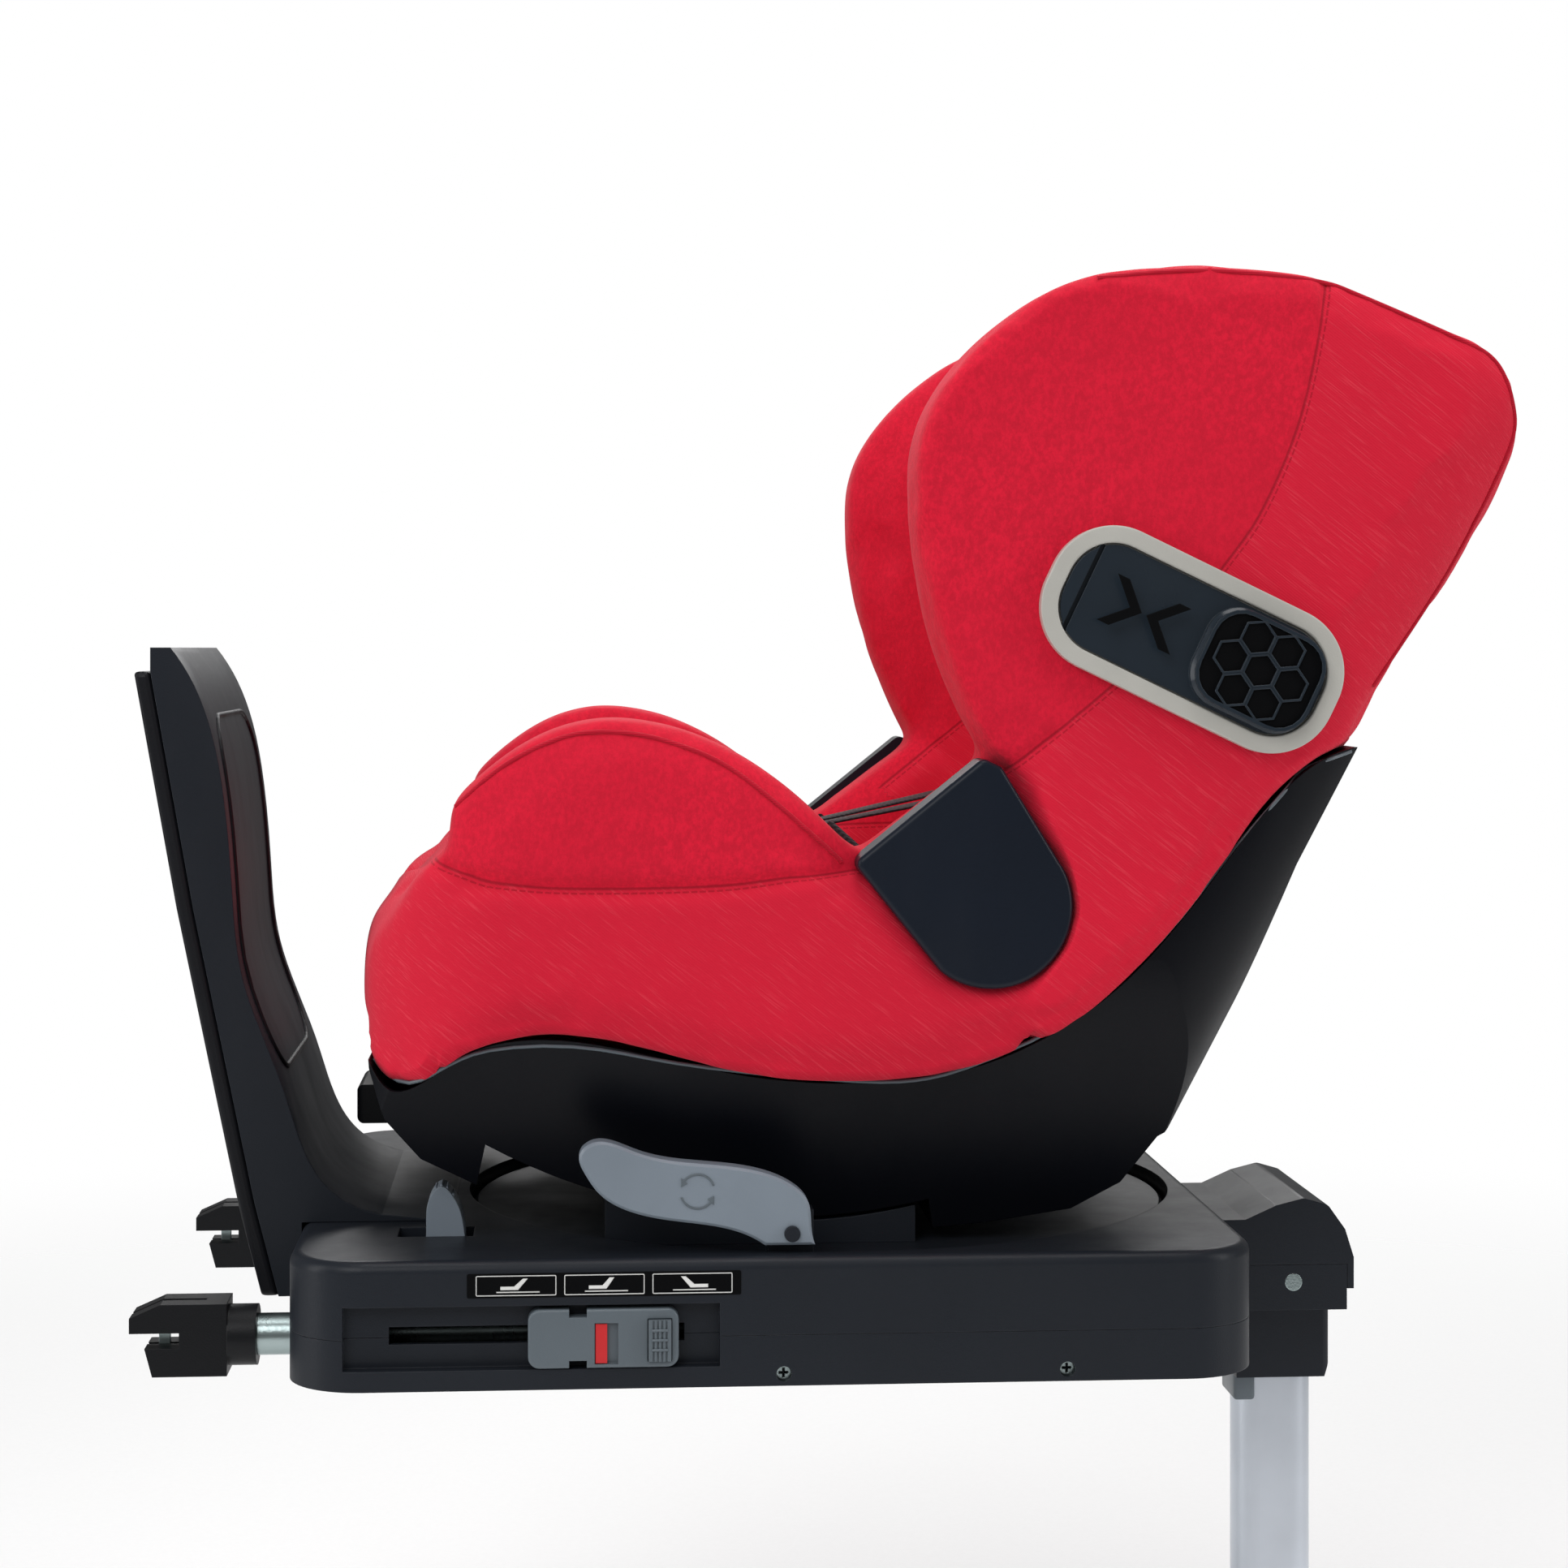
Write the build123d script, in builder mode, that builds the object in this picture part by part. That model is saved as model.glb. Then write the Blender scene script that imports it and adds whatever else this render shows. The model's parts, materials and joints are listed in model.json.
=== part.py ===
from build123d import *
import os
from math import cos, radians, sin, sqrt

# A rotating convertible child seat on its own base, in millimetres.
# +Z is up. -X points to the vehicle's backrest, where the two bar connectors and the
# rebound panel are. +X points to the support leg. The child's left is -Y.
# The origin is on the swivel axis, at the height of the base's underside.

os.makedirs("parts", exist_ok=True)
SIDES = ((-1, "left"), (1, "right"))
ACROSS = (0, 1, 0)

# ---- Base ----
base_back = -290
base_front = 215
base_half_width = 215
base_corner = 40
parting_height = 26
rail_top = 66
wall = 3
side_wall = 12
joint_gap = 0.2
edge_round = 6

# ---- Swivel ----
turntable_radius = 200
turntable_rim_gap = 3
deck_top = 48
deck_thickness = 3
turntable_lift = 2
turntable_thickness = 10
hub_radius = 60
bearing_width = 10
running_gap = 0.05
axial_gap = 0.1
turntable_bottom = deck_top + turntable_lift
turntable_top = turntable_bottom + turntable_thickness

# ---- Support leg ----
leg_x = 268
leg_z = 16
leg_pin_radius = 5
leg_tube_depth = 46
leg_tube_width = 30
leg_tube_wall = 2
leg_slide_gap = 0.5
leg_back_reach = 25
leg_front_reach = 30
housing_half_width = 24
housing_bottom = -47
upper_tube_bottom = -235
lower_tube_top = -60
foot_top = -312
foot_bottom = -334
foot_half_width = 38
channel_half_width = foot_half_width + 4
channel_back = -240
nose_half_width = channel_half_width + 18
nose_front = 299

# ---- Bar connectors ----
bar_spacing = 280
arm_radius = 11
arm_gap = 1.5
arm_z = 14
arm_back = -310
arm_front = -70
connector_tip = -376
connector_root = -325
connector_half_width = 14
bar_slot_height = 8
bar_slot_end = -350
hook_thickness = 3
hook_slit = 4
hook_x = -343
hook_z = 25
hook_pin_radius = 2.5

# ---- Adjuster on the base's sides ----
pocket_back = -260
pocket_front = -68
pocket_low = 10.5
pocket_high = 43
pocket_depth = 8
slot_back = -237
slot_front = -86
slot_low = 22.5
slot_high = 31.5
slider_back = -166
slider_front = -89
slider_low = 11
slider_high = 41
slider_proud = 2

# ---- Lock lever in a pocket of the deck's back corner ----
lock_x = (-236, -196)
lock_y = (122, 148)
lock_floor = 47
lock_pin_radius = 3
lock_play = 2

# ---- Rebound panel ----
panel_half_width = 105
panel_back_thickness = 9
hoop_radius = 6
hoop_bend = 40
well_back = -(turntable_radius + turntable_rim_gap)

# ---- Seat ----
recline_x = -30
recline_z = 385
track_radius = 311
carriage_gap = 2
carriage_half_width = 150
back_lean = 28
seat_half_width = 206
wing_half_width = 215
cavity_half_width = 140
shell_wall = 5
soft_gap = 0.6
plate_front = 14
plate_thickness = 8
back_pad_front = -26
headrest_low = 472
headrest_high = 600
handle_half_width = 45

# ---- Recline handle under the seat's front ----
handle_x = (-266, -222)
handle_y = 30
handle_z = (108, 130)
handle_travel = 8

# ---- Side impact pod ----
pod_x = 176
pod_z = 383
pod_dip = 25.7
pod_length = 164
pod_height = 77
pod_band = 9
pod_corner = 34
pod_base = 3
pod_rim = 8
pod_clear = 0.4
flap_thickness = 3
pod_raise = 8
pod_pad_length = 66
pod_pad_height = 54
pod_pad_corner = 18
pod_pad_place = 37
pod_hinge_inset = 20

# ---- Harness ----
buckle_lean = 20
press_depth = 4
press_travel = 4
adjuster_x = (-198, -166)
adjuster_z = (226, 240)
adjuster_half_width = 17


def on_back(up, out):
    """Point (x, z) that lies this far up the backrest and this far out behind it."""
    lean = radians(back_lean)
    return (up * sin(lean) + out * cos(lean), up * cos(lean) - out * sin(lean))


back_plane = Plane(
    origin=(0, 0, 0),
    x_dir=(cos(radians(back_lean)), 0, -sin(radians(back_lean))),
    z_dir=(sin(radians(back_lean)), 0, cos(radians(back_lean))),
)


def side_outline(*stretches, y=0):
    """Face in side view, closed from stretches of (Polyline or Spline, points)."""
    with BuildSketch(Plane.XZ.offset(-y)) as face:
        with BuildLine():
            for shape, points in stretches:
                shape(*points)
        make_face()
    return face.sketch


def side_polygon(points, y=0):
    """Straight-sided face in side view."""
    return side_outline((Polyline, [*points, points[0]]), y=y)


def grown(points, middle, gap):
    """Points moved straight away from a middle point by a gap."""
    moved = []
    for x, z in points:
        reach = sqrt((x - middle[0]) ** 2 + (z - middle[1]) ** 2)
        moved.append((x + (x - middle[0]) * gap / reach, z + (z - middle[1]) * gap / reach))
    return moved


def arc_z(radius, x):
    """Height of a circle about the recline axis, below it, at this x."""
    return recline_z - sqrt(radius**2 - (x - recline_x) ** 2)


# ---- Base shells ----
def base_plan(inset=0, height=0):
    """Rounded plan of the base, less an inset all round."""
    with BuildSketch(Plane.XY.offset(height)) as plan:
        with Locations(((base_back + base_front) / 2, 0)):
            length = base_front - base_back - 2 * inset
            RectangleRounded(length, 2 * (base_half_width - inset), base_corner - inset)
    return plan.sketch


def box_between(low, high, mode=Mode.ADD):
    """Box from its lowest corner to its highest corner, added to the open part."""
    size = [top - bottom for bottom, top in zip(low, high)]
    centre = Vector(*[(top + bottom) / 2 for bottom, top in zip(low, high)])
    with Locations(centre):
        return Box(*size, mode=mode)


def side_box(side, x_range, y_range, z_range, mode=Mode.ADD):
    """Box on one side, whose y range is measured outwards from the middle."""
    y_low, y_high = sorted((side * y_range[0], side * y_range[1]))
    low = (x_range[0], y_low, z_range[0])
    high = (x_range[1], y_high, z_range[1])
    return box_between(low, high, mode=mode)


def pin_hole(x, z, radius, half_length, mode=Mode.SUBTRACT):
    """Round bar or hole along Y, centred on the middle plane."""
    with Locations(Location((x, 0, z), (90, 0, 0))):
        return Cylinder(radius, 2 * half_length, mode=mode)


arm_y = bar_spacing / 2
arm_hole_radius = arm_radius + arm_gap
side_inner = base_half_width - side_wall
channel_wall_y = channel_half_width + wall
screw_places = ((-35, 6), (112, 6))
screw_head_radius = 4
screw_head_depth = 4
screw_sink = 4


# ---- Base lower shell: tray with two closed bays and the leg's channel between them ----
with BuildPart() as base_lower_shell:
    extrude(base_plan(), amount=parting_height)
    box_between(
        (base_front - base_corner, -nose_half_width, 0),
        (nose_front, nose_half_width, parting_height),
    )
    with BuildSketch(Plane.XY.offset(wall)):
        bay_length = base_front - base_back - 2 * side_wall
        for side, _ in SIDES:
            with Locations(((base_back + base_front) / 2, side * (channel_wall_y + side_inner) / 2)):
                RectangleRounded(bay_length, side_inner - channel_wall_y, base_corner - side_wall)
    extrude(amount=parting_height, mode=Mode.SUBTRACT)
    box_between(
        (channel_back, -channel_half_width, 0),
        (nose_front, channel_half_width, parting_height),
        mode=Mode.SUBTRACT,
    )
    for side, _ in SIDES:
        boss_y = (housing_half_width + 0.4, channel_half_width + 1)
        with Locations(Location((leg_x, side * sum(boss_y) / 2, leg_z), (90, 0, 0))):
            Cylinder(leg_pin_radius + 5, boss_y[1] - boss_y[0])
        with Locations(Location((base_back, side * arm_y, arm_z), (0, 90, 0))):
            Cylinder(arm_hole_radius, 2 * side_wall + 10, mode=Mode.SUBTRACT)
        pocket_y = (base_half_width - pocket_depth, base_half_width)
        side_box(side, (pocket_back, pocket_front), pocket_y, (pocket_low, pocket_high), Mode.SUBTRACT)
        slot_y = (base_half_width - side_wall, base_half_width)
        side_box(side, (slot_back, slot_front), slot_y, (slot_low, slot_high), Mode.SUBTRACT)
        for screw_x, screw_z in screw_places:
            depth = 2 * (screw_sink + screw_head_depth)
            with Locations(Location((screw_x, side * base_half_width, screw_z), (90, 0, 0))):
                Cylinder(screw_head_radius, depth, mode=Mode.SUBTRACT)
    pin_hole(leg_x, leg_z, leg_pin_radius, nose_half_width)
base_lower_shell.part.label = "base_lower_shell"
export_step(base_lower_shell.part, "parts/base_lower_shell.step")

# ---- Base upper shell: deck, rails round the turntable's well, hollow below ----
well_radius = turntable_radius + turntable_rim_gap
upper_low = parting_height + joint_gap
deck_low = deck_top - deck_thickness
bearing_outer = hub_radius + bearing_width
with BuildPart() as base_upper_shell:
    extrude(base_plan(height=upper_low), amount=rail_top - upper_low)
    fillet(base_upper_shell.faces().sort_by(Axis.Z)[-1].edges(), edge_round)
    with BuildSketch(Plane.XY.offset(deck_top)):
        Circle(well_radius)
    extrude(amount=rail_top - deck_top, mode=Mode.SUBTRACT)
    extrude(base_plan(inset=side_wall, height=upper_low), amount=deck_low - upper_low, mode=Mode.SUBTRACT)
    with BuildSketch(Plane.XY.offset(deck_low)):
        Circle(bearing_outer)
    extrude(amount=deck_thickness, mode=Mode.SUBTRACT)
    box_between(
        (base_front - side_wall, -channel_half_width, upper_low),
        (base_front, channel_half_width, deck_low - 1),
        mode=Mode.SUBTRACT,
    )
    for side, _ in SIDES:
        pocket_y = (base_half_width - pocket_depth, base_half_width)
        side_box(side, (pocket_back, pocket_front), pocket_y, (pocket_low, pocket_high), Mode.SUBTRACT)
        slot_y = (base_half_width - side_wall, base_half_width)
        side_box(side, (slot_back, slot_front), slot_y, (slot_low, slot_high), Mode.SUBTRACT)
    side_box(-1, lock_x, lock_y, (lock_floor, rail_top), Mode.SUBTRACT)
base_upper_shell.part.label = "base_upper_shell"
export_step(base_upper_shell.part, "parts/base_upper_shell.step")

# ---- Bearing ring under the turntable ----
with BuildPart() as bearing_ring:
    with BuildSketch(Plane.XY.offset(deck_low)):
        Circle(bearing_outer)
        Circle(hub_radius + running_gap, mode=Mode.SUBTRACT)
    extrude(amount=turntable_bottom - axial_gap - deck_low)
bearing_ring.part.label = "bearing_ring"
export_step(bearing_ring.part, "parts/bearing_ring.step")

# ---- Neck cover over the leg's hinge ----
cover_outline = [
    (base_front + joint_gap, upper_low),
    (base_front + joint_gap, 52),
    (240, 52),
    (258, 60),
    (274, 64),
    (288, 60),
    (298, 46),
    (nose_front + 4, 30),
    (nose_front + 4, 12),
    (nose_front + 0.3, 12),
    (nose_front + 0.3, upper_low),
]
cover_hollow = [
    (base_front, upper_low - 1),
    (base_front, 46),
    (243, 47),
    (261, 55),
    (274, 58),
    (284, 55),
    (293, 43),
    (nose_front, 29),
    (nose_front, upper_low - 1),
]
with BuildPart() as neck_cover:
    extrude(side_polygon(cover_outline, y=-nose_half_width), amount=2 * nose_half_width, dir=ACROSS)
    long_edges = neck_cover.edges().filter_by(Axis.Y)
    fillet(long_edges.group_by(Axis.Z)[-1] + long_edges.group_by(Axis.Z)[-2], 5)
    extrude(
        side_polygon(cover_hollow, y=-channel_half_width),
        amount=2 * channel_half_width,
        dir=ACROSS,
        mode=Mode.SUBTRACT,
    )
neck_cover.part.label = "neck_cover"
export_step(neck_cover.part, "parts/neck_cover.step")

# ---- Screws sunk in the base's sides ----
with BuildPart() as base_screws:
    for side, _ in SIDES:
        for screw_x, screw_z in screw_places:
            head_y = side * (base_half_width - screw_sink - screw_head_depth / 2)
            with Locations(Location((screw_x, head_y, screw_z), (90, 0, 0))):
                Cylinder(screw_head_radius, screw_head_depth)
                Box(1.2, 5, 2 * screw_head_depth, mode=Mode.SUBTRACT)
                Box(5, 1.2, 2 * screw_head_depth, mode=Mode.SUBTRACT)
base_screws.part.label = "base_screws"
export_step(base_screws.part, "parts/base_screws.step")

# ---- Rebound panel: back shell, front cover and the steel hoop inside it ----
panel_back = [(-312, upper_low), (-325, 77), (-358, 237), (-381, 366)]
panel_front_low = (well_back - 6, rail_top + joint_gap)
panel_rim = [(-361, 379), (-351, 364), (-332, 295), (-328, 250), (-323, 203)]
panel_rim += [(-300, 138), (-280, 89), (-247, 70)]
with BuildPart() as rebound_back_shell:
    inner_line = [(x + panel_back_thickness, z) for x, z in reversed(panel_back)]
    extrude(
        side_polygon(panel_back + inner_line, y=-panel_half_width),
        amount=2 * panel_half_width,
        dir=ACROSS,
    )
rebound_back_shell.part.label = "rebound_back_shell"
export_step(rebound_back_shell.part, "parts/rebound_back_shell.step")

hoop_low = (-305, 70)
hoop_high = (-361, 350)
hoop_rise = Vector(hoop_high[0] - hoop_low[0], 0, hoop_high[1] - hoop_low[1])
hoop_plane = Plane(origin=(hoop_low[0], 0, hoop_low[1]), x_dir=ACROSS, z_dir=hoop_rise.cross(Vector(*ACROSS)))
hoop_y = panel_half_width - 22


def hoop(radius):
    """Steel hoop of this radius, or the channel that it lies in."""
    reach = hoop_rise.length * (1 if hoop_plane.y_dir.Z > 0 else -1)
    with BuildPart() as bar:
        with BuildLine(hoop_plane) as path:
            FilletPolyline(
                (-hoop_y, 0), (-hoop_y, reach), (hoop_y, reach), (hoop_y, 0), radius=hoop_bend
            )
        with BuildSketch(Plane(origin=path.line @ 0, z_dir=path.line % 0)):
            Circle(radius)
        sweep(path=path.line)
    return bar.part


with BuildPart() as rebound_frame:
    add(hoop(hoop_radius))
rebound_frame.part.label = "rebound_frame"
export_step(rebound_frame.part, "parts/rebound_frame.step")

with BuildPart() as rebound_front_cover:
    top = (panel_back[-1][0] + panel_back_thickness + joint_gap, panel_back[-1][1])
    front_face = side_outline(
        (Polyline, [top, (top[0], panel_rim[0][1]), panel_rim[0]]),
        (Spline, panel_rim),
        (
            Polyline,
            [panel_rim[-1], panel_front_low, (base_back - joint_gap, panel_front_low[1])]
            + [(base_back - joint_gap, upper_low)]
            + [(x + panel_back_thickness + joint_gap, z) for x, z in panel_back],
        ),
        y=-panel_half_width,
    )
    extrude(front_face, amount=2 * panel_half_width, dir=ACROSS)
    add(hoop(hoop_radius + 0.3), mode=Mode.SUBTRACT)
rebound_front_cover.part.label = "rebound_front_cover"
export_step(rebound_front_cover.part, "parts/rebound_front_cover.step")

# ---- Support leg ----
with BuildPart() as leg_pin:
    pin_hole(leg_x, leg_z, leg_pin_radius, nose_half_width, mode=Mode.ADD)
leg_pin.part.label = "leg_pin"
export_step(leg_pin.part, "parts/leg_pin.step")

tube_top = leg_z - leg_pin_radius - 8
tube_round = leg_tube_width / 2 - 1


def leg_section(height, grow=0):
    """Oval section of the leg's tube, grown or shrunk all round."""
    with BuildSketch(Plane.XY.offset(height)) as section:
        with Locations((leg_x, 0)):
            RectangleRounded(leg_tube_depth + 2 * grow, leg_tube_width + 2 * grow, tube_round + grow)
    return section.sketch


with BuildPart() as leg_housing:
    with BuildSketch(Plane.XZ.offset(-housing_half_width)) as housing_face:
        with BuildLine():
            Polyline(
                (leg_x - leg_back_reach, leg_z),
                (leg_x - leg_back_reach, housing_bottom),
                (leg_x + leg_front_reach - 3, housing_bottom),
                (leg_x + leg_front_reach, housing_bottom + 8),
                (leg_x + leg_front_reach, leg_z - 12),
                (leg_x + leg_back_reach, leg_z),
                close=True,
            )
        make_face()
        with Locations((leg_x, leg_z)):
            Circle(leg_back_reach)
    extrude(housing_face.sketch, amount=-2 * housing_half_width, dir=(0, 1, 0))
    fillet(leg_housing.edges().filter_by(Axis.Z).group_by(Axis.X)[-1], 4)
    extrude(leg_section(housing_bottom), amount=tube_top - housing_bottom, mode=Mode.SUBTRACT)
    pin_hole(leg_x, leg_z, leg_pin_radius + running_gap, nose_half_width)
leg_housing.part.label = "leg_housing"
export_step(leg_housing.part, "parts/leg_housing.step")

with BuildPart() as leg_upper_tube:
    extrude(leg_section(upper_tube_bottom), amount=tube_top - upper_tube_bottom)
    bore = leg_section(upper_tube_bottom, grow=-leg_tube_wall)
    extrude(bore, amount=tube_top - upper_tube_bottom, mode=Mode.SUBTRACT)
leg_upper_tube.part.label = "leg_upper_tube"
export_step(leg_upper_tube.part, "parts/leg_upper_tube.step")

inner_shrink = -leg_tube_wall - leg_slide_gap
with BuildPart() as leg_lower_tube:
    extrude(leg_section(foot_top, grow=inner_shrink), amount=lower_tube_top - foot_top)
    bore = leg_section(foot_top + 5, grow=inner_shrink - leg_tube_wall)
    extrude(bore, amount=lower_tube_top - foot_top, mode=Mode.SUBTRACT)
leg_lower_tube.part.label = "leg_lower_tube"
export_step(leg_lower_tube.part, "parts/leg_lower_tube.step")

collar_x = (leg_x - leg_back_reach, leg_x + leg_front_reach + 1)
collar_z = (upper_tube_bottom - 10, upper_tube_bottom + 32)
collar_half_width = leg_tube_width / 2 + 4
button_z = (upper_tube_bottom + 3, upper_tube_bottom + 21)
button_half_width = 8
button_seat_x = leg_x + leg_tube_depth / 2 + 0.4
button_x = (collar_x[1] - 3.5, collar_x[1] + 2)
with BuildPart() as leg_collar:
    box_between(
        (collar_x[0], -collar_half_width, collar_z[0]),
        (collar_x[1], collar_half_width, collar_z[1]),
    )
    fillet(leg_collar.edges().filter_by(Axis.Z), 1.8)
    extrude(leg_section(upper_tube_bottom), amount=collar_z[1] - upper_tube_bottom, mode=Mode.SUBTRACT)
    lip = leg_section(collar_z[0], grow=-leg_tube_wall)
    extrude(lip, amount=upper_tube_bottom - collar_z[0], mode=Mode.SUBTRACT)
    box_between(
        (button_seat_x, -button_half_width - 0.3, button_z[0] - 0.3),
        (collar_x[1], button_half_width + 0.3, button_z[1] + 0.3),
        mode=Mode.SUBTRACT,
    )
leg_collar.part.label = "leg_collar"
export_step(leg_collar.part, "parts/leg_collar.step")

with BuildPart() as leg_button:
    box_between(
        (button_x[0], -button_half_width, button_z[0]),
        (button_x[1], button_half_width, button_z[1]),
    )
    fillet(leg_button.faces().sort_by(Axis.X)[-1].edges(), 1.2)
leg_button.part.label = "leg_button"
export_step(leg_button.part, "parts/leg_button.step")

with BuildPart() as leg_foot:
    box_between(
        (leg_x - leg_back_reach + 2, -foot_half_width, foot_bottom),
        (leg_x + leg_front_reach, foot_half_width, foot_top),
    )
    fillet(leg_foot.edges().filter_by(Axis.Z), 12)
    fillet(leg_foot.faces().sort_by(Axis.Z)[-1].edges(), 5)
leg_foot.part.label = "leg_foot"
export_step(leg_foot.part, "parts/leg_foot.step")

# ---- Bar connectors, one on each side: arm, connector, hook, slider, button and indicator ----
connector_low = -5
connector_high = 33
bracket_x = (-140, -110)
bracket_top = 31
bracket_y = arm_y + arm_radius + 8
stem_x = (-135, -115)
stem_z = (slot_low + 0.7, slot_high - 0.7)
slider_y = (base_half_width - pocket_depth + 0.5, base_half_width + slider_proud)
button_pocket_x = (-105, -92.5)
button_pocket_z = (14, 36)
release_travel = 3
release_y = (slider_y[1] - 3.6, slider_y[1] + 2.5)
window_x = (-132, -120)
window_z = (13, 34)
window_depth = 3
indicator_length = 6
for side, tag in SIDES:
    with BuildPart() as isofix_arm:
        with Locations(Location(((arm_back + arm_front) / 2, side * arm_y, arm_z), (0, 90, 0))):
            Cylinder(arm_radius, arm_front - arm_back)
        side_box(side, bracket_x, (arm_y, bracket_y), (arm_z - arm_radius, bracket_top))
        with Locations(Location(((arm_back + arm_front) / 2, side * arm_y, arm_z), (0, 90, 0))):
            Cylinder(arm_radius - 2, arm_front - arm_back, mode=Mode.SUBTRACT)
    isofix_arm.part.label = f"isofix_arm_{tag}"
    export_step(isofix_arm.part, f"parts/isofix_arm_{tag}.step")

    with BuildPart() as isofix_connector:
        outline = [
            (connector_root, connector_low),
            (connector_root, connector_high),
            (connector_tip + 16, connector_high),
            (connector_tip, arm_z + 12),
            (connector_tip, arm_z + bar_slot_height / 2),
            (bar_slot_end, arm_z + bar_slot_height / 2),
            (bar_slot_end, arm_z - bar_slot_height / 2),
            (connector_tip + 8, arm_z - bar_slot_height / 2),
            (connector_tip + 12, connector_low),
        ]
        start = side * arm_y - connector_half_width
        extrude(side_polygon(outline, y=start), amount=2 * connector_half_width, dir=ACROSS)
        # collar behind the connector, round the arm's end
        with Locations(Location(((connector_root + arm_back) / 2, side * arm_y, arm_z), (0, 90, 0))):
            Cylinder(arm_radius + 5, arm_back - connector_root)
        side_box(
            side,
            (connector_tip - 1, hook_x + 6),
            (arm_y - hook_slit / 2, arm_y + hook_slit / 2),
            (connector_low, connector_high),
            Mode.SUBTRACT,
        )
        with Locations(Location((hook_x, side * arm_y, hook_z), (90, 0, 0))):
            Cylinder(hook_pin_radius, hook_slit + 2)
    isofix_connector.part.label = f"isofix_connector_{tag}"
    export_step(isofix_connector.part, f"parts/isofix_connector_{tag}.step")

    with BuildPart() as isofix_hook:
        hook_low = arm_z - bar_slot_height / 2 - 1
        outline = [
            (hook_x + 5, hook_z - 5),
            (hook_x + 5, hook_z + 4),
            (hook_x - 19, hook_z + 3),
            (hook_x - 19, hook_low),
            (hook_x - 13, hook_low),
            (hook_x - 13, hook_z - 4),
        ]
        start = side * arm_y - hook_thickness / 2
        extrude(side_polygon(outline, y=start), amount=hook_thickness, dir=ACROSS)
        with Locations(Location((hook_x, side * arm_y, hook_z), (90, 0, 0))):
            Cylinder(hook_pin_radius + running_gap, 2 * hook_thickness, mode=Mode.SUBTRACT)
    isofix_hook.part.label = f"isofix_hook_{tag}"
    export_step(isofix_hook.part, f"parts/isofix_hook_{tag}.step")

    with BuildPart() as isofix_slider:
        side_box(side, (slider_back, slider_front), slider_y, (slider_low, slider_high))
        fillet(isofix_slider.edges().filter_by(Axis.Y), 6)
        outer = isofix_slider.faces().sort_by(Axis.Y)[0 if side < 0 else -1]
        fillet(outer.edges(), 1.5)
        # narrower neck between the thumb cap and the body
        for neck_z in ((slider_low, slider_low + 4), (slider_high - 4, slider_high)):
            side_box(side, (-145, -136), slider_y, neck_z, Mode.SUBTRACT)
        side_box(side, stem_x, (bracket_y, slider_y[0]), stem_z)
        pocket_y = (release_y[0] - release_travel - 0.3, slider_y[1])
        side_box(side, button_pocket_x, pocket_y, button_pocket_z, Mode.SUBTRACT)
        side_box(side, window_x, (slider_y[1] - window_depth, slider_y[1]), window_z, Mode.SUBTRACT)
    isofix_slider.part.label = f"isofix_slider_{tag}"
    export_step(isofix_slider.part, f"parts/isofix_slider_{tag}.step")

    with BuildPart() as isofix_button:
        side_box(
            side,
            (button_pocket_x[0] + 0.4, button_pocket_x[1] - 0.4),
            release_y,
            (button_pocket_z[0] + 0.4, button_pocket_z[1] - 0.4),
        )
        for rib in range(4):
            rib_x = button_pocket_x[0] + 2.6 + 2.2 * rib
            rib_y = (release_y[1] - 0.8, release_y[1])
            side_box(side, (rib_x, rib_x + 0.9), rib_y, button_pocket_z, Mode.SUBTRACT)
    isofix_button.part.label = f"isofix_button_{tag}"
    export_step(isofix_button.part, f"parts/isofix_button_{tag}.step")

    with BuildPart() as isofix_indicator:
        side_box(
            side,
            (window_x[0] + 0.4, window_x[0] + 0.4 + indicator_length),
            (slider_y[1] - window_depth + 0.3, slider_y[1] - 0.6),
            (window_z[0] + 0.4, window_z[1] - 0.4),
        )
    isofix_indicator.part.label = f"isofix_indicator_{tag}"
    export_step(isofix_indicator.part, f"parts/isofix_indicator_{tag}.step")

# ---- Lock lever: thumb lever on a pin across its pocket ----
lock_middle = sum(lock_y) / 2
lock_low = [(-200, 60), (-206, 52), (-218, 52), (-222, 60)]
lock_high = [(-222, 60), (-221, 75), (-218, 88), (-213, 92), (-207, 87), (-202, 75), (-200, 60)]
lock_pin_x = lock_x[1] - 11
lock_pin_z = 59
with BuildPart() as lock_lever:
    face = side_outline((Polyline, lock_low), (Spline, lock_high), y=-lock_y[1] + lock_play)
    extrude(face, amount=lock_y[1] - lock_y[0] - 2 * lock_play, dir=ACROSS)
    with Locations(Location((lock_pin_x, -lock_middle, lock_pin_z), (90, 0, 0))):
        Cylinder(lock_pin_radius + running_gap, 60, mode=Mode.SUBTRACT)
lock_lever.part.label = "lock_lever"
export_step(lock_lever.part, "parts/lock_lever.step")

with BuildPart() as lock_pin:
    with Locations(Location((lock_pin_x, -lock_middle, lock_pin_z), (90, 0, 0))):
        Cylinder(lock_pin_radius, lock_y[1] - lock_y[0])
lock_pin.part.label = "lock_pin"
export_step(lock_pin.part, "parts/lock_pin.step")

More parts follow.
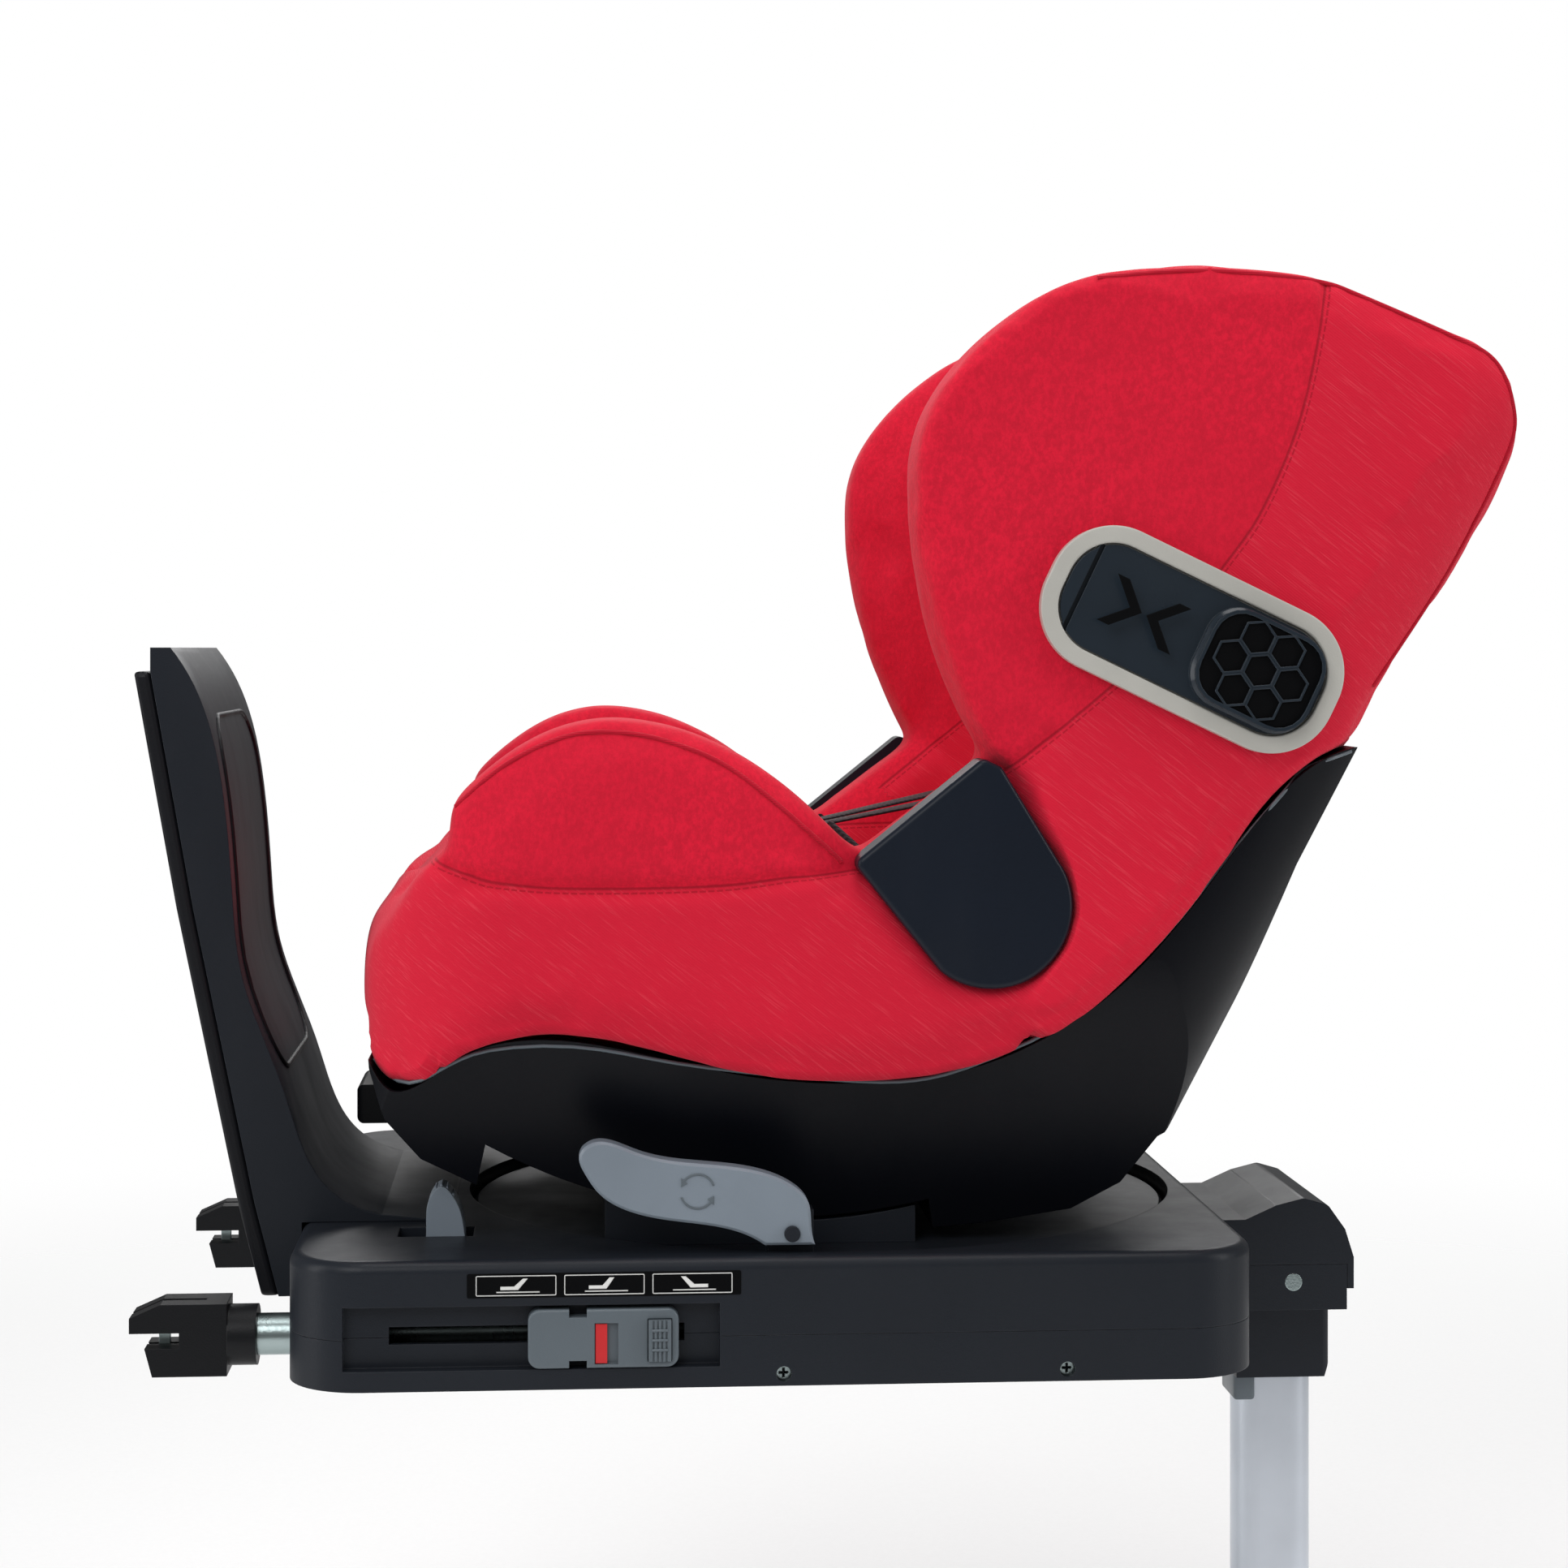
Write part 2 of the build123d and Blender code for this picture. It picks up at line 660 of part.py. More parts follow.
# ---- Turntable with its lever bosses, and the recline carriage bolted on it ----
lever_pin_x = -30
lever_pin_z = 76
lever_y = (193, 205)
boss_y = (178, lever_y[0] - 0.5)
lever_pin_radius = 4
flange_gap = 0.1
with BuildPart() as turntable:
    with BuildSketch(Plane.XY.offset(turntable_bottom)):
        Circle(turntable_radius)
    extrude(amount=turntable_thickness)
    chamfer(turntable.faces().sort_by(Axis.Z)[-1].edges(), 2)
    with BuildSketch(Plane.XY.offset(deck_low - flange_gap)):
        Circle(hub_radius)
    extrude(amount=turntable_bottom + flange_gap - deck_low)
    with BuildSketch(Plane.XY.offset(deck_low - flange_gap - 2)):
        Circle(hub_radius + 6)
    extrude(amount=2)
    for side, _ in SIDES:
        side_box(side, (lever_pin_x - 12, lever_pin_x + 12), boss_y, (turntable_top - 4, lever_pin_z + 10))
        pin_y = (boss_y[0] + 2, lever_y[1] + 2)
        with Locations(Location((lever_pin_x, side * sum(pin_y) / 2, lever_pin_z), (90, 0, 0))):
            Cylinder(lever_pin_radius, pin_y[1] - pin_y[0])
turntable.part.label = "turntable"
export_step(turntable.part, "parts/turntable.step")

carriage_x = (-126, 40)
carriage_radius = track_radius + carriage_gap
rail_y = 74
rail_half_width = 5
flange_half_width = 10
rail_radii = (track_radius - 3, track_radius + 6)
flange_radii = (track_radius + 6, track_radius + 10)
slot_clear = 0.6


def arc_band(radii, x_range, y, y_depth):
    """Curved bar about the recline axis, between two radii and two distances along X."""
    inner, outer = radii
    with BuildPart() as band:
        with BuildSketch(Plane.XZ.offset(-y)):
            with Locations((recline_x, recline_z)):
                Circle(outer)
                Circle(inner, mode=Mode.SUBTRACT)
            with Locations(((x_range[0] + x_range[1]) / 2, 100)):
                Rectangle(x_range[1] - x_range[0], 200, mode=Mode.INTERSECT)
        extrude(amount=-y_depth)
    return band.part


with BuildPart() as recline_carriage:
    box_between(
        (carriage_x[0], -carriage_half_width, turntable_top),
        (carriage_x[1], carriage_half_width, turntable_top + 40),
    )
    with Locations(Location((recline_x, 0, recline_z), (90, 0, 0))):
        Cylinder(carriage_radius, 2 * carriage_half_width + 2, mode=Mode.SUBTRACT)
    for side, _ in SIDES:
        for radii, half_width in ((rail_radii, rail_half_width), (flange_radii, flange_half_width)):
            slot_radii = (radii[0] - slot_clear, radii[1] + slot_clear)
            slot_start = side * rail_y - half_width - slot_clear
            slot_depth = 2 * half_width + 2 * slot_clear
            slot = arc_band(slot_radii, (carriage_x[0] - 1, carriage_x[1] + 1), slot_start, slot_depth)
            add(slot, mode=Mode.SUBTRACT)
recline_carriage.part.label = "recline_carriage"
export_step(recline_carriage.part, "parts/recline_carriage.step")

rail_x = (-176, 36)
with BuildPart() as recline_rails:
    for side, _ in SIDES:
        for radii, half_width in ((rail_radii, rail_half_width), (flange_radii, flange_half_width)):
            add(arc_band(radii, rail_x, side * rail_y - half_width, 2 * half_width))
recline_rails.part.label = "recline_rails"
export_step(recline_rails.part, "parts/recline_rails.step")

lever_top = [(-138, 121), (-133, 124), (-111, 119), (-82, 113), (-43, 107)]
lever_top += [(-30, 101), (-22, 93), (-20, 80), (-18, 70)]
lever_heel = [(-18, 70), (-44, 70)]
lever_bottom = [(-44, 70), (-55, 76), (-90, 83), (-113, 88), (-129, 97)]
lever_bottom += [(-137, 108), (-140, 116), (-138, 121)]
for side, tag in SIDES:
    with BuildPart() as rotate_lever:
        start = lever_y[0] if side > 0 else -lever_y[1]
        extrude(
            side_outline((Spline, lever_top), (Polyline, lever_heel), (Spline, lever_bottom), y=start),
            amount=lever_y[1] - lever_y[0],
            dir=ACROSS,
        )
        outer = rotate_lever.faces().sort_by(Axis.Y)[0 if side < 0 else -1]
        chamfer(outer.edges(), 1.5)
        with Locations(Location((lever_pin_x, side * sum(lever_y) / 2, lever_pin_z), (90, 0, 0))):
            Cylinder(lever_pin_radius + running_gap, 40, mode=Mode.SUBTRACT)
    rotate_lever.part.label = f"rotate_lever_{tag}"
    export_step(rotate_lever.part, f"parts/rotate_lever_{tag}.step")


# ---- Seat: shared outlines ----
seam = [(-252, 166), (-232, 148), (-204, 165), (-160, 176), (-69, 158), (5, 150)]
seam += [(66, 158), (134, 196), (209, 282), (240, 314), (272, 326)]
heel_x = 47
nose_x = -189
shell_low = [(heel_x, arc_z(track_radius, heel_x)), (50, 67), (81, 70), (124, 77), (150, 92), (168, 118)]
shell_low += [(178, 124), (205, 175), (240, 264), (275, 330)]
shell_nose = [(-252, 180), (-250, 158), (-241, 132), (-223, 110), (nose_x - 5, 95)]
shell_nose += [(nose_x, arc_z(track_radius, nose_x))]


def shell_face(inset=0, y=0):
    """Side view of the lower shell carried up past the fabric's edge, less a wall."""
    with BuildSketch(Plane.XZ.offset(-y)) as face:
        with BuildLine():
            Polyline(*shell_nose)
            ThreePointArc(
                shell_nose[-1], (recline_x, recline_z - track_radius), (heel_x, arc_z(track_radius, heel_x))
            )
            Polyline(*shell_low, (300, 380), (-252, 380), shell_nose[0])
        make_face()
        if inset:
            offset(amount=-inset, kind=Kind.INTERSECTION)
    return face.sketch


def below_seam(lift, y):
    """Everything in side view below the fabric's lower edge, raised by a lift."""
    edge = [(x, z + lift) for x, z in seam]
    ends = [edge[-1], (420, edge[-1][1]), (420, 0), (-420, 0), (-420, edge[0][1]), edge[0]]
    return side_outline((Spline, edge), (Polyline, ends), y=y)


def tub_section(inset=0):
    """Front view of the seat: a narrow bottom that flares to full width."""
    foot = carriage_half_width - 10 - inset
    rim = seat_half_width - inset
    right = [(foot, 50), (foot + 16, 90), (foot + 42, 150), (rim - 4, 195), (rim, 230)]
    left = [(-y, z) for y, z in reversed(right)]
    with BuildSketch(Plane.YZ.offset(-300)) as section:
        with BuildLine():
            Spline(*right)
            Line((rim, 230), (rim, 420))
            Line((rim, 420), (-rim, 420))
            Line((-rim, 420), (-rim, 230))
            Spline(*left)
            Line((-foot, 50), (foot, 50))
        make_face()
    return section.sketch


front_corner = 75
seat_front = -258


def seat_plan(inset=0, half_width=seat_half_width):
    """Plan of the seat with large front corners, so that it turns clear of the rebound panel."""
    with BuildSketch(Plane.XY.offset(40)) as plan:
        with Locations(((400 + seat_front) / 2, 0)):
            length = 400 - seat_front - 2 * inset
            RectangleRounded(length, 2 * (half_width - inset), front_corner - inset)
    return plan.sketch


rear_out = 99
rear_corner = 58


def back_section(half_width, inset=0):
    """Section across the backrest with rounded rear corners."""
    with BuildSketch(back_plane.offset(-100)) as section:
        with Locations(((rear_out - 600) / 2, 0)):
            length = rear_out + 600 - 2 * inset
            RectangleRounded(length, 2 * (half_width - inset), rear_corner - inset)
    return section.sketch


def seat_envelope(inset=0):
    """Solid that the lower shell and its cavity are cut from."""
    with BuildPart() as envelope:
        extrude(shell_face(inset, y=-300), amount=600, dir=ACROSS)
        extrude(tub_section(inset), amount=700, mode=Mode.INTERSECT)
        extrude(seat_plan(inset), amount=600, mode=Mode.INTERSECT)
        extrude(back_section(seat_half_width, inset), amount=900, mode=Mode.INTERSECT)
    return envelope.part


# pan and back of the bucket, in side view
pan_front = (-210, 172)
pan_thickness = 6
pan_rear = on_back(165, plate_front)
plate_top = 622
plate_outline = [
    pan_front,
    pan_rear,
    on_back(plate_top, plate_front),
    on_back(plate_top, plate_front + plate_thickness),
    on_back(158, plate_front + plate_thickness),
    (pan_front[0], pan_front[1] - pan_thickness),
]
middle_half_width = cavity_half_width - 0.4
rib_y = 98
rib_thickness = 5

with BuildPart() as under_shell:
    add(seat_envelope())
    add(seat_envelope(inset=shell_wall), mode=Mode.SUBTRACT)
    ribs = (-rib_y - rib_thickness, rib_y)
    for start in ribs:
        extrude(shell_face(inset=1, y=start), amount=rib_thickness, dir=ACROSS)
    above_pan = [plate_outline[0], plate_outline[5], plate_outline[4], plate_outline[3]]
    above_pan += [(-100, 600), (-400, 600), (-400, pan_front[1])]
    bucket_room = side_polygon(above_pan, y=-rib_y - rib_thickness)
    extrude(bucket_room, amount=2 * (rib_y + rib_thickness), dir=ACROSS, mode=Mode.SUBTRACT)
    sky = [seam[-1], (420, 326), (420, 700), (-420, 700), (-420, 166), seam[0]]
    sky_face = side_outline((Spline, seam), (Polyline, sky), y=-300)
    extrude(sky_face, amount=600, dir=ACROSS, mode=Mode.SUBTRACT)
    for rail_side, _ in SIDES:
        groove_y = rail_side * rail_y - rail_half_width
        groove = arc_band(rail_radii, rail_x, groove_y, 2 * rail_half_width)
        add(groove, mode=Mode.SUBTRACT)
    # way in for the recline handle
    box_between(
        (handle_x[0], -handle_y - 0.5, handle_z[0] - 0.5),
        (handle_x[1] + handle_travel + 1, handle_y + 0.5, handle_z[1] + 0.5),
        mode=Mode.SUBTRACT,
    )
under_shell.part.label = "under_shell"
export_step(under_shell.part, "parts/under_shell.step")

with BuildPart() as bucket_shell:
    extrude(side_polygon(plate_outline, y=-middle_half_width), amount=2 * middle_half_width, dir=ACROSS)
bucket_shell.part.label = "bucket_shell"
export_step(bucket_shell.part, "parts/bucket_shell.step")

def pod_shape(inset, mode=Mode.ADD):
    """Long rounded outline of the side impact pod, less an inset."""
    length, height = pod_length - 2 * inset, pod_height - 2 * inset
    RectangleRounded(length, height, pod_corner - inset, mode=mode)


# ---- Soft parts of the seat ----
cloth_front = -211.4
pad_gap = 0.4
seat_surface_front = (cloth_front, 232)
seat_surface_rear = on_back(186, back_pad_front)
with BuildPart() as seat_pad:
    outline = [
        (cloth_front, pan_front[1] + pad_gap),
        seat_surface_front,
        (-190, 238),
        seat_surface_rear,
        on_back(186, plate_front - pad_gap),
        (pan_rear[0] - pad_gap, pan_rear[1] + pad_gap),
    ]
    extrude(side_polygon(outline, y=-middle_half_width), amount=2 * middle_half_width, dir=ACROSS)
    box_between(
        (adjuster_x[0] - 0.4, -adjuster_half_width - 0.4, adjuster_z[0] - 5),
        (adjuster_x[1] + 0.4, adjuster_half_width + 0.4, 260),
        mode=Mode.SUBTRACT,
    )
seat_pad.part.label = "seat_pad"
export_step(seat_pad.part, "parts/seat_pad.step")

with BuildPart() as back_pad:
    outline = [
        on_back(186 + pad_gap, back_pad_front),
        on_back(headrest_low - 3, back_pad_front),
        on_back(headrest_low - 3, plate_front - pad_gap),
        on_back(186 + pad_gap, plate_front - pad_gap),
    ]
    extrude(side_polygon(outline, y=-middle_half_width), amount=2 * middle_half_width, dir=ACROSS)
back_pad.part.label = "back_pad"
export_step(back_pad.part, "parts/back_pad.step")

with BuildPart() as front_roll:
    outline = [
        (cloth_front - 0.6, 100),
        (-262, 100),
        (-256, 185),
        (-258, 208),
        (-252, 226),
        (-242, 237),
        (-230, 259),
        (-221, 269),
        (cloth_front - 0.6, 262),
    ]
    extrude(side_polygon(outline, y=-250), amount=500, dir=ACROSS)
    extrude(below_seam(soft_gap, y=-260), amount=520, dir=ACROSS, mode=Mode.SUBTRACT)
    extrude(seat_plan(), amount=600, mode=Mode.INTERSECT)
front_roll.part.label = "front_roll"
export_step(front_roll.part, "parts/front_roll.step")

with BuildPart() as back_cover:
    rear_line = [(284, 354), (330, 417), (353, 462), (363, 496), (357, 519), (346, 538), (320, 552)]
    inner_out = plate_front + plate_thickness + pad_gap
    outline = [on_back(340, inner_out), on_back(340, 92), *rear_line, on_back(plate_top - 2, inner_out)]
    extrude(side_polygon(outline, y=-middle_half_width), amount=2 * middle_half_width, dir=ACROSS)
    extrude(below_seam(soft_gap, y=-260), amount=520, dir=ACROSS, mode=Mode.SUBTRACT)
back_cover.part.label = "back_cover"
export_step(back_cover.part, "parts/back_cover.step")

guard_top = [(46, 212), (1, 268), (68, 322), (78, 317), (108, 268)]
guard_round = [(108, 268), (115, 248), (110, 225), (90, 206), (66, 203), (46, 212)]
guard_y = (190, wing_half_width)
guard_gap = 0.6
guard_middle = (62, 262)
wing_front = [(69, 326), (52, 359), (39, 401), (33, 446), (35, 496), (52, 526), (80, 553)]
wing_top = [(80, 553), (127, 578), (182, 583), (244, 578), (269, 570)]
wing_top += [(319, 549), (344, 536), (355, 517), (361, 494)]
wing_rear = [(361, 494), (351, 462), (329, 417), (284, 354), (272, 334)]
split_gap = 2
split_line = [(68, 322), (78, 317), (108, 268), (115, 242), (102, 214), (92, 206), (92, 0)]
wing_split = [(x + split_gap, z) for x, z in reversed(split_line)]
wing_low = [(272, 0), *wing_split, (69, 326)]
bolster_low = [(92, 0), (cloth_front, 0), (cloth_front, 298)]
bolster_top = [(cloth_front, 298), (-182, 323), (-148, 339), (-118, 341)]
bolster_top += [(-89, 335), (-56, 320), (-15, 286), (0, 270)]
bolster_rear = [(0, 270), *split_line]
wing_edge_thickness = 48
for side, tag in SIDES:
    inner_y = cavity_half_width
    start = inner_y if side > 0 else -wing_half_width
    depth = wing_half_width - inner_y

    with BuildPart() as side_guard:
        guard_start = guard_y[0] if side > 0 else -guard_y[1]
        guard_face = side_outline((Polyline, guard_top), (Spline, guard_round), y=guard_start)
        extrude(guard_face, amount=guard_y[1] - guard_y[0], dir=ACROSS)
        corners = side_guard.edges().filter_by(Axis.Y).sort_by(Axis.X)
        fillet([corners[0], corners[2], corners[3]], 5)
        outer = side_guard.faces().sort_by(Axis.Y)[0 if side < 0 else -1]
        fillet(outer.edges(), 3)
    side_guard.part.label = f"side_guard_{tag}"
    export_step(side_guard.part, f"parts/side_guard_{tag}.step")

    with BuildPart() as guard_block:
        room_start = guard_y[0] - guard_gap if side > 0 else -guard_y[1] - guard_gap
        room_face = side_outline(
            (Polyline, grown(guard_top, guard_middle, guard_gap)),
            (Spline, grown(guard_round, guard_middle, guard_gap)),
            y=room_start,
        )
        extrude(room_face, amount=guard_y[1] - guard_y[0] + 2 * guard_gap, dir=ACROSS)
    guard_room = guard_block.part

    with BuildPart() as wing_cover:
        wing_back = wing_rear + wing_low
        face = side_outline((Spline, wing_front), (Spline, wing_top), (Polyline, wing_back), y=start)
        extrude(face, amount=depth, dir=ACROSS)
        extrude(below_seam(soft_gap, y=-260), amount=520, dir=ACROSS, mode=Mode.SUBTRACT)
        extrude(back_section(wing_half_width), amount=900, mode=Mode.INTERSECT)
        # inner face splayed so that the wing thins to its front edge
        with BuildSketch(back_plane.offset(-100)):
            with BuildLine():
                thin_y = side * (wing_half_width - wing_edge_thickness)
                splay = [(-300, side * 100), (-300, thin_y), (-30, side * inner_y), (-30, side * 100)]
                Polyline(*splay, close=True)
            make_face()
        extrude(amount=900, mode=Mode.SUBTRACT)
        add(guard_room, mode=Mode.SUBTRACT)
    wing_cover.part.label = f"wing_cover_{tag}"
    export_step(wing_cover.part, f"parts/wing_cover_{tag}.step")

    with BuildPart() as thigh_bolster:
        bolster_depth = seat_half_width - inner_y
        bolster_start = inner_y if side > 0 else -seat_half_width
        face = side_outline(
            (Spline, bolster_top), (Polyline, bolster_rear), (Polyline, bolster_low), y=bolster_start
        )
        extrude(face, amount=bolster_depth, dir=ACROSS)
        extrude(below_seam(soft_gap, y=-260), amount=520, dir=ACROSS, mode=Mode.SUBTRACT)
        extrude(seat_plan(), amount=600, mode=Mode.INTERSECT)
        add(guard_room, mode=Mode.SUBTRACT)
    thigh_bolster.part.label = f"thigh_bolster_{tag}"
    export_step(thigh_bolster.part, f"parts/thigh_bolster_{tag}.step")

    # ---- Side impact pod: oval frame and a flap that swings out at its front end ----
    pod_plane = Plane(
        origin=(pod_x, side * wing_half_width, pod_z),
        x_dir=(cos(radians(pod_dip)), 0, -sin(radians(pod_dip))),
        z_dir=(0, side, 0),
    )
    with BuildPart() as sip_frame:
        with BuildSketch(pod_plane):
            pod_shape(0)
        extrude(amount=pod_base)
        with BuildSketch(pod_plane.offset(pod_base)):
            pod_shape(0)
            pod_shape(pod_band, mode=Mode.SUBTRACT)
        extrude(amount=pod_rim - pod_base)
        fillet(sip_frame.faces().sort_by(Axis.Y)[0 if side < 0 else -1].edges(), 1)
    sip_frame.part.label = f"sip_frame_{tag}"
    export_step(sip_frame.part, f"parts/sip_frame_{tag}.step")

    with BuildPart() as sip_flap:
        with BuildSketch(pod_plane.offset(pod_base + pod_clear)):
            pod_shape(pod_band + 1)
            with Locations((-pod_length / 2 + pod_hinge_inset - 20, 0)):
                Rectangle(40, pod_height, mode=Mode.SUBTRACT)
        extrude(amount=flap_thickness)
        # raised pod at the rear end
        with BuildSketch(pod_plane.offset(pod_base + pod_clear + flap_thickness)):
            with Locations((pod_pad_place, 0)):
                RectangleRounded(pod_pad_length, pod_pad_height, pod_pad_corner)
        extrude(amount=pod_raise)
        chamfer(sip_flap.faces().sort_by(Axis.Y)[0 if side < 0 else -1].edges(), 5)
    sip_flap.part.label = f"sip_flap_{tag}"
    export_step(sip_flap.part, f"parts/sip_flap_{tag}.step")

# ---- Headrest, sliding up the backrest ----
headrest_play = 0.6
headrest_half_width = 118
with BuildPart() as headrest_shell:
    outline = [
        on_back(headrest_low, plate_front - headrest_play),
        on_back(headrest_high, plate_front - headrest_play),
        on_back(headrest_high, back_pad_front),
        on_back(headrest_low, back_pad_front),
    ]
    extrude(side_polygon(outline, y=-headrest_half_width), amount=2 * headrest_half_width, dir=ACROSS)
    room = [
        on_back(headrest_high - 40, 6.4),
        on_back(headrest_high + 1, 6.4),
        on_back(headrest_high + 1, -18.4),
        on_back(headrest_high - 40, -18.4),
    ]
    handle_room = handle_half_width + 0.4
    extrude(side_polygon(room, y=-handle_room), amount=2 * handle_room, dir=ACROSS, mode=Mode.SUBTRACT)
headrest_shell.part.label = "headrest_shell"
export_step(headrest_shell.part, "parts/headrest_shell.step")

with BuildPart() as headrest_handle:
    outline = [
        on_back(headrest_high - 28, 6),
        on_back(headrest_high + 10, 6),
        on_back(headrest_high + 10, -18),
        on_back(headrest_high - 28, -18),
    ]
    extrude(side_polygon(outline, y=-handle_half_width), amount=2 * handle_half_width, dir=ACROSS)
    fillet(headrest_handle.edges().filter_by(Axis.Y), 3)
headrest_handle.part.label = "headrest_handle"
export_step(headrest_handle.part, "parts/headrest_handle.step")

with BuildPart() as headrest_pad:
    with BuildSketch(back_plane.offset(headrest_low)):
        with BuildLine():
            front_out = back_pad_front - 0.3
            Polyline(
                (front_out, -headrest_half_width),
                (front_out, headrest_half_width),
                (-112, headrest_half_width + 8),
                (-118, headrest_half_width - 4),
                (-70, headrest_half_width - 38),
                (-62, 0),
                (-70, -headrest_half_width + 38),
                (-118, -headrest_half_width + 4),
                (-112, -headrest_half_width - 8),
                close=True,
            )
        make_face()
    extrude(amount=headrest_high - headrest_low)
headrest_pad.part.label = "headrest_pad"
export_step(headrest_pad.part, "parts/headrest_pad.step")

# ---- Harness ----
strap_width = 38
strap_thickness = 2.4
shoulder_y = 44
strap_out = (back_pad_front - 0.4 - strap_thickness, back_pad_front - 0.4)
strap_up = (330, headrest_low - 6)
pad_out = (strap_out[0] - 5, back_pad_front - 0.3)
pad_up = (345, 450)
buckle_plane = Plane(
    origin=(-28, 0, 222), x_dir=ACROSS, z_dir=(sin(radians(buckle_lean)), 0, cos(radians(buckle_lean)))
)
buckle_rise = 56
with BuildPart() as shoulder_straps:
    for side, _ in SIDES:
        lower = back_plane.offset(strap_up[0])
        middle_out = sum(strap_out) / 2
        with BuildSketch(lower):
            with Locations((middle_out, side * shoulder_y)):
                Rectangle(strap_thickness, strap_width)
        extrude(amount=strap_up[1] - strap_up[0])
        # run from the chest down to the buckle's tongue
        with BuildSketch(lower):
            with Locations((middle_out, side * shoulder_y)):
                Rectangle(strap_thickness, strap_width)
        tongue = buckle_plane.offset(buckle_rise + 0.4)
        with BuildSketch(tongue):
            with Locations((side * 16, 0)):
                Rectangle(22, strap_thickness)
        loft()
shoulder_straps.part.label = "shoulder_straps"
export_step(shoulder_straps.part, "parts/shoulder_straps.step")

with BuildPart() as shoulder_pads:
    with BuildSketch(back_plane.offset(pad_up[0])):
        for side, _ in SIDES:
            with Locations((sum(pad_out) / 2, side * shoulder_y)):
                Rectangle(pad_out[1] - pad_out[0], strap_width + 20)
            with Locations((sum(strap_out) / 2 + 0.3, side * shoulder_y)):
                Rectangle(strap_thickness + 1.2, strap_width + 0.8, mode=Mode.SUBTRACT)
    extrude(amount=pad_up[1] - pad_up[0])
shoulder_pads.part.label = "shoulder_pads"
export_step(shoulder_pads.part, "parts/shoulder_pads.step")

buckle_half_width = 31
buckle_half_depth = 13
press_half = (14, 12)
press_z = (16, 44)
with BuildPart() as buckle:
    with BuildSketch(buckle_plane):
        RectangleRounded(2 * buckle_half_width, 2 * buckle_half_depth, 8)
    extrude(amount=buckle_rise)
    fillet(buckle.faces().sort_by(Axis.Z)[-1].edges(), 3)
    press_plane = Plane(
        origin=buckle_plane.from_local_coords(Vector(0, 0, (press_z[0] + press_z[1]) / 2)),
        x_dir=ACROSS,
        z_dir=(-cos(radians(buckle_lean)), 0, sin(radians(buckle_lean))),
    )
    with BuildSketch(press_plane.offset(buckle_half_depth - press_depth - press_travel - 0.5)):
        RectangleRounded(2 * press_half[0] + 0.8, press_z[1] - press_z[0] + 0.8, 4)
    extrude(amount=40, mode=Mode.SUBTRACT)
buckle.part.label = "buckle"
export_step(buckle.part, "parts/buckle.step")

with BuildPart() as buckle_button:
    with BuildSketch(press_plane.offset(buckle_half_depth - press_depth)):
        RectangleRounded(2 * press_half[0], press_z[1] - press_z[0], 4)
    extrude(amount=press_depth + 1)
buckle_button.part.label = "buckle_button"
export_step(buckle_button.part, "parts/buckle_button.step")

with BuildPart() as lap_straps:
    # crotch strap from the seat pad up into the buckle
    crotch = [(-34, 209.5), (-31, 209.5), (-27.2, 221), (-29.8, 221.6)]
    extrude(side_polygon(crotch, y=-20), amount=40, dir=ACROSS)
    # hip straps from the corner of seat and back to the tongue
    for side, _ in SIDES:
        hip_plane = Plane(
            origin=(62, side * (middle_half_width - 2), 214), x_dir=(1, 0, 0), z_dir=(0, -side, 0)
        )
        with BuildSketch(hip_plane):
            Rectangle(strap_thickness, strap_width - 14)
        tongue = Plane(origin=(4, side * 36, 268), x_dir=(1, 0, 0), z_dir=(0, -side, 0))
        with BuildSketch(tongue):
            Rectangle(strap_thickness, strap_width - 14)
        loft()
lap_straps.part.label = "lap_straps"
export_step(lap_straps.part, "parts/lap_straps.step")

with BuildPart() as harness_adjuster:
    box_between(
        (adjuster_x[0], -adjuster_half_width, adjuster_z[0]),
        (adjuster_x[1], adjuster_half_width, adjuster_z[1]),
    )
    fillet(harness_adjuster.faces().sort_by(Axis.Z)[-1].edges(), 2)
harness_adjuster.part.label = "harness_adjuster"
export_step(harness_adjuster.part, "parts/harness_adjuster.step")

with BuildPart() as recline_handle:
    box_between(
        (handle_x[0], -handle_y, handle_z[0]),
        (handle_x[1], handle_y, handle_z[1]),
    )
    fillet(recline_handle.faces().sort_by(Axis.X)[0].edges(), 4)
recline_handle.part.label = "recline_handle"
export_step(recline_handle.part, "parts/recline_handle.step")
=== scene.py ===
import json
from math import atan2, cos, pi, radians, sin, sqrt

import bmesh
import bpy
import numpy as np
from bpy.props import FloatProperty, FloatVectorProperty, IntProperty, PointerProperty
from mathutils import Matrix, Vector
from mathutils.bvhtree import BVHTree


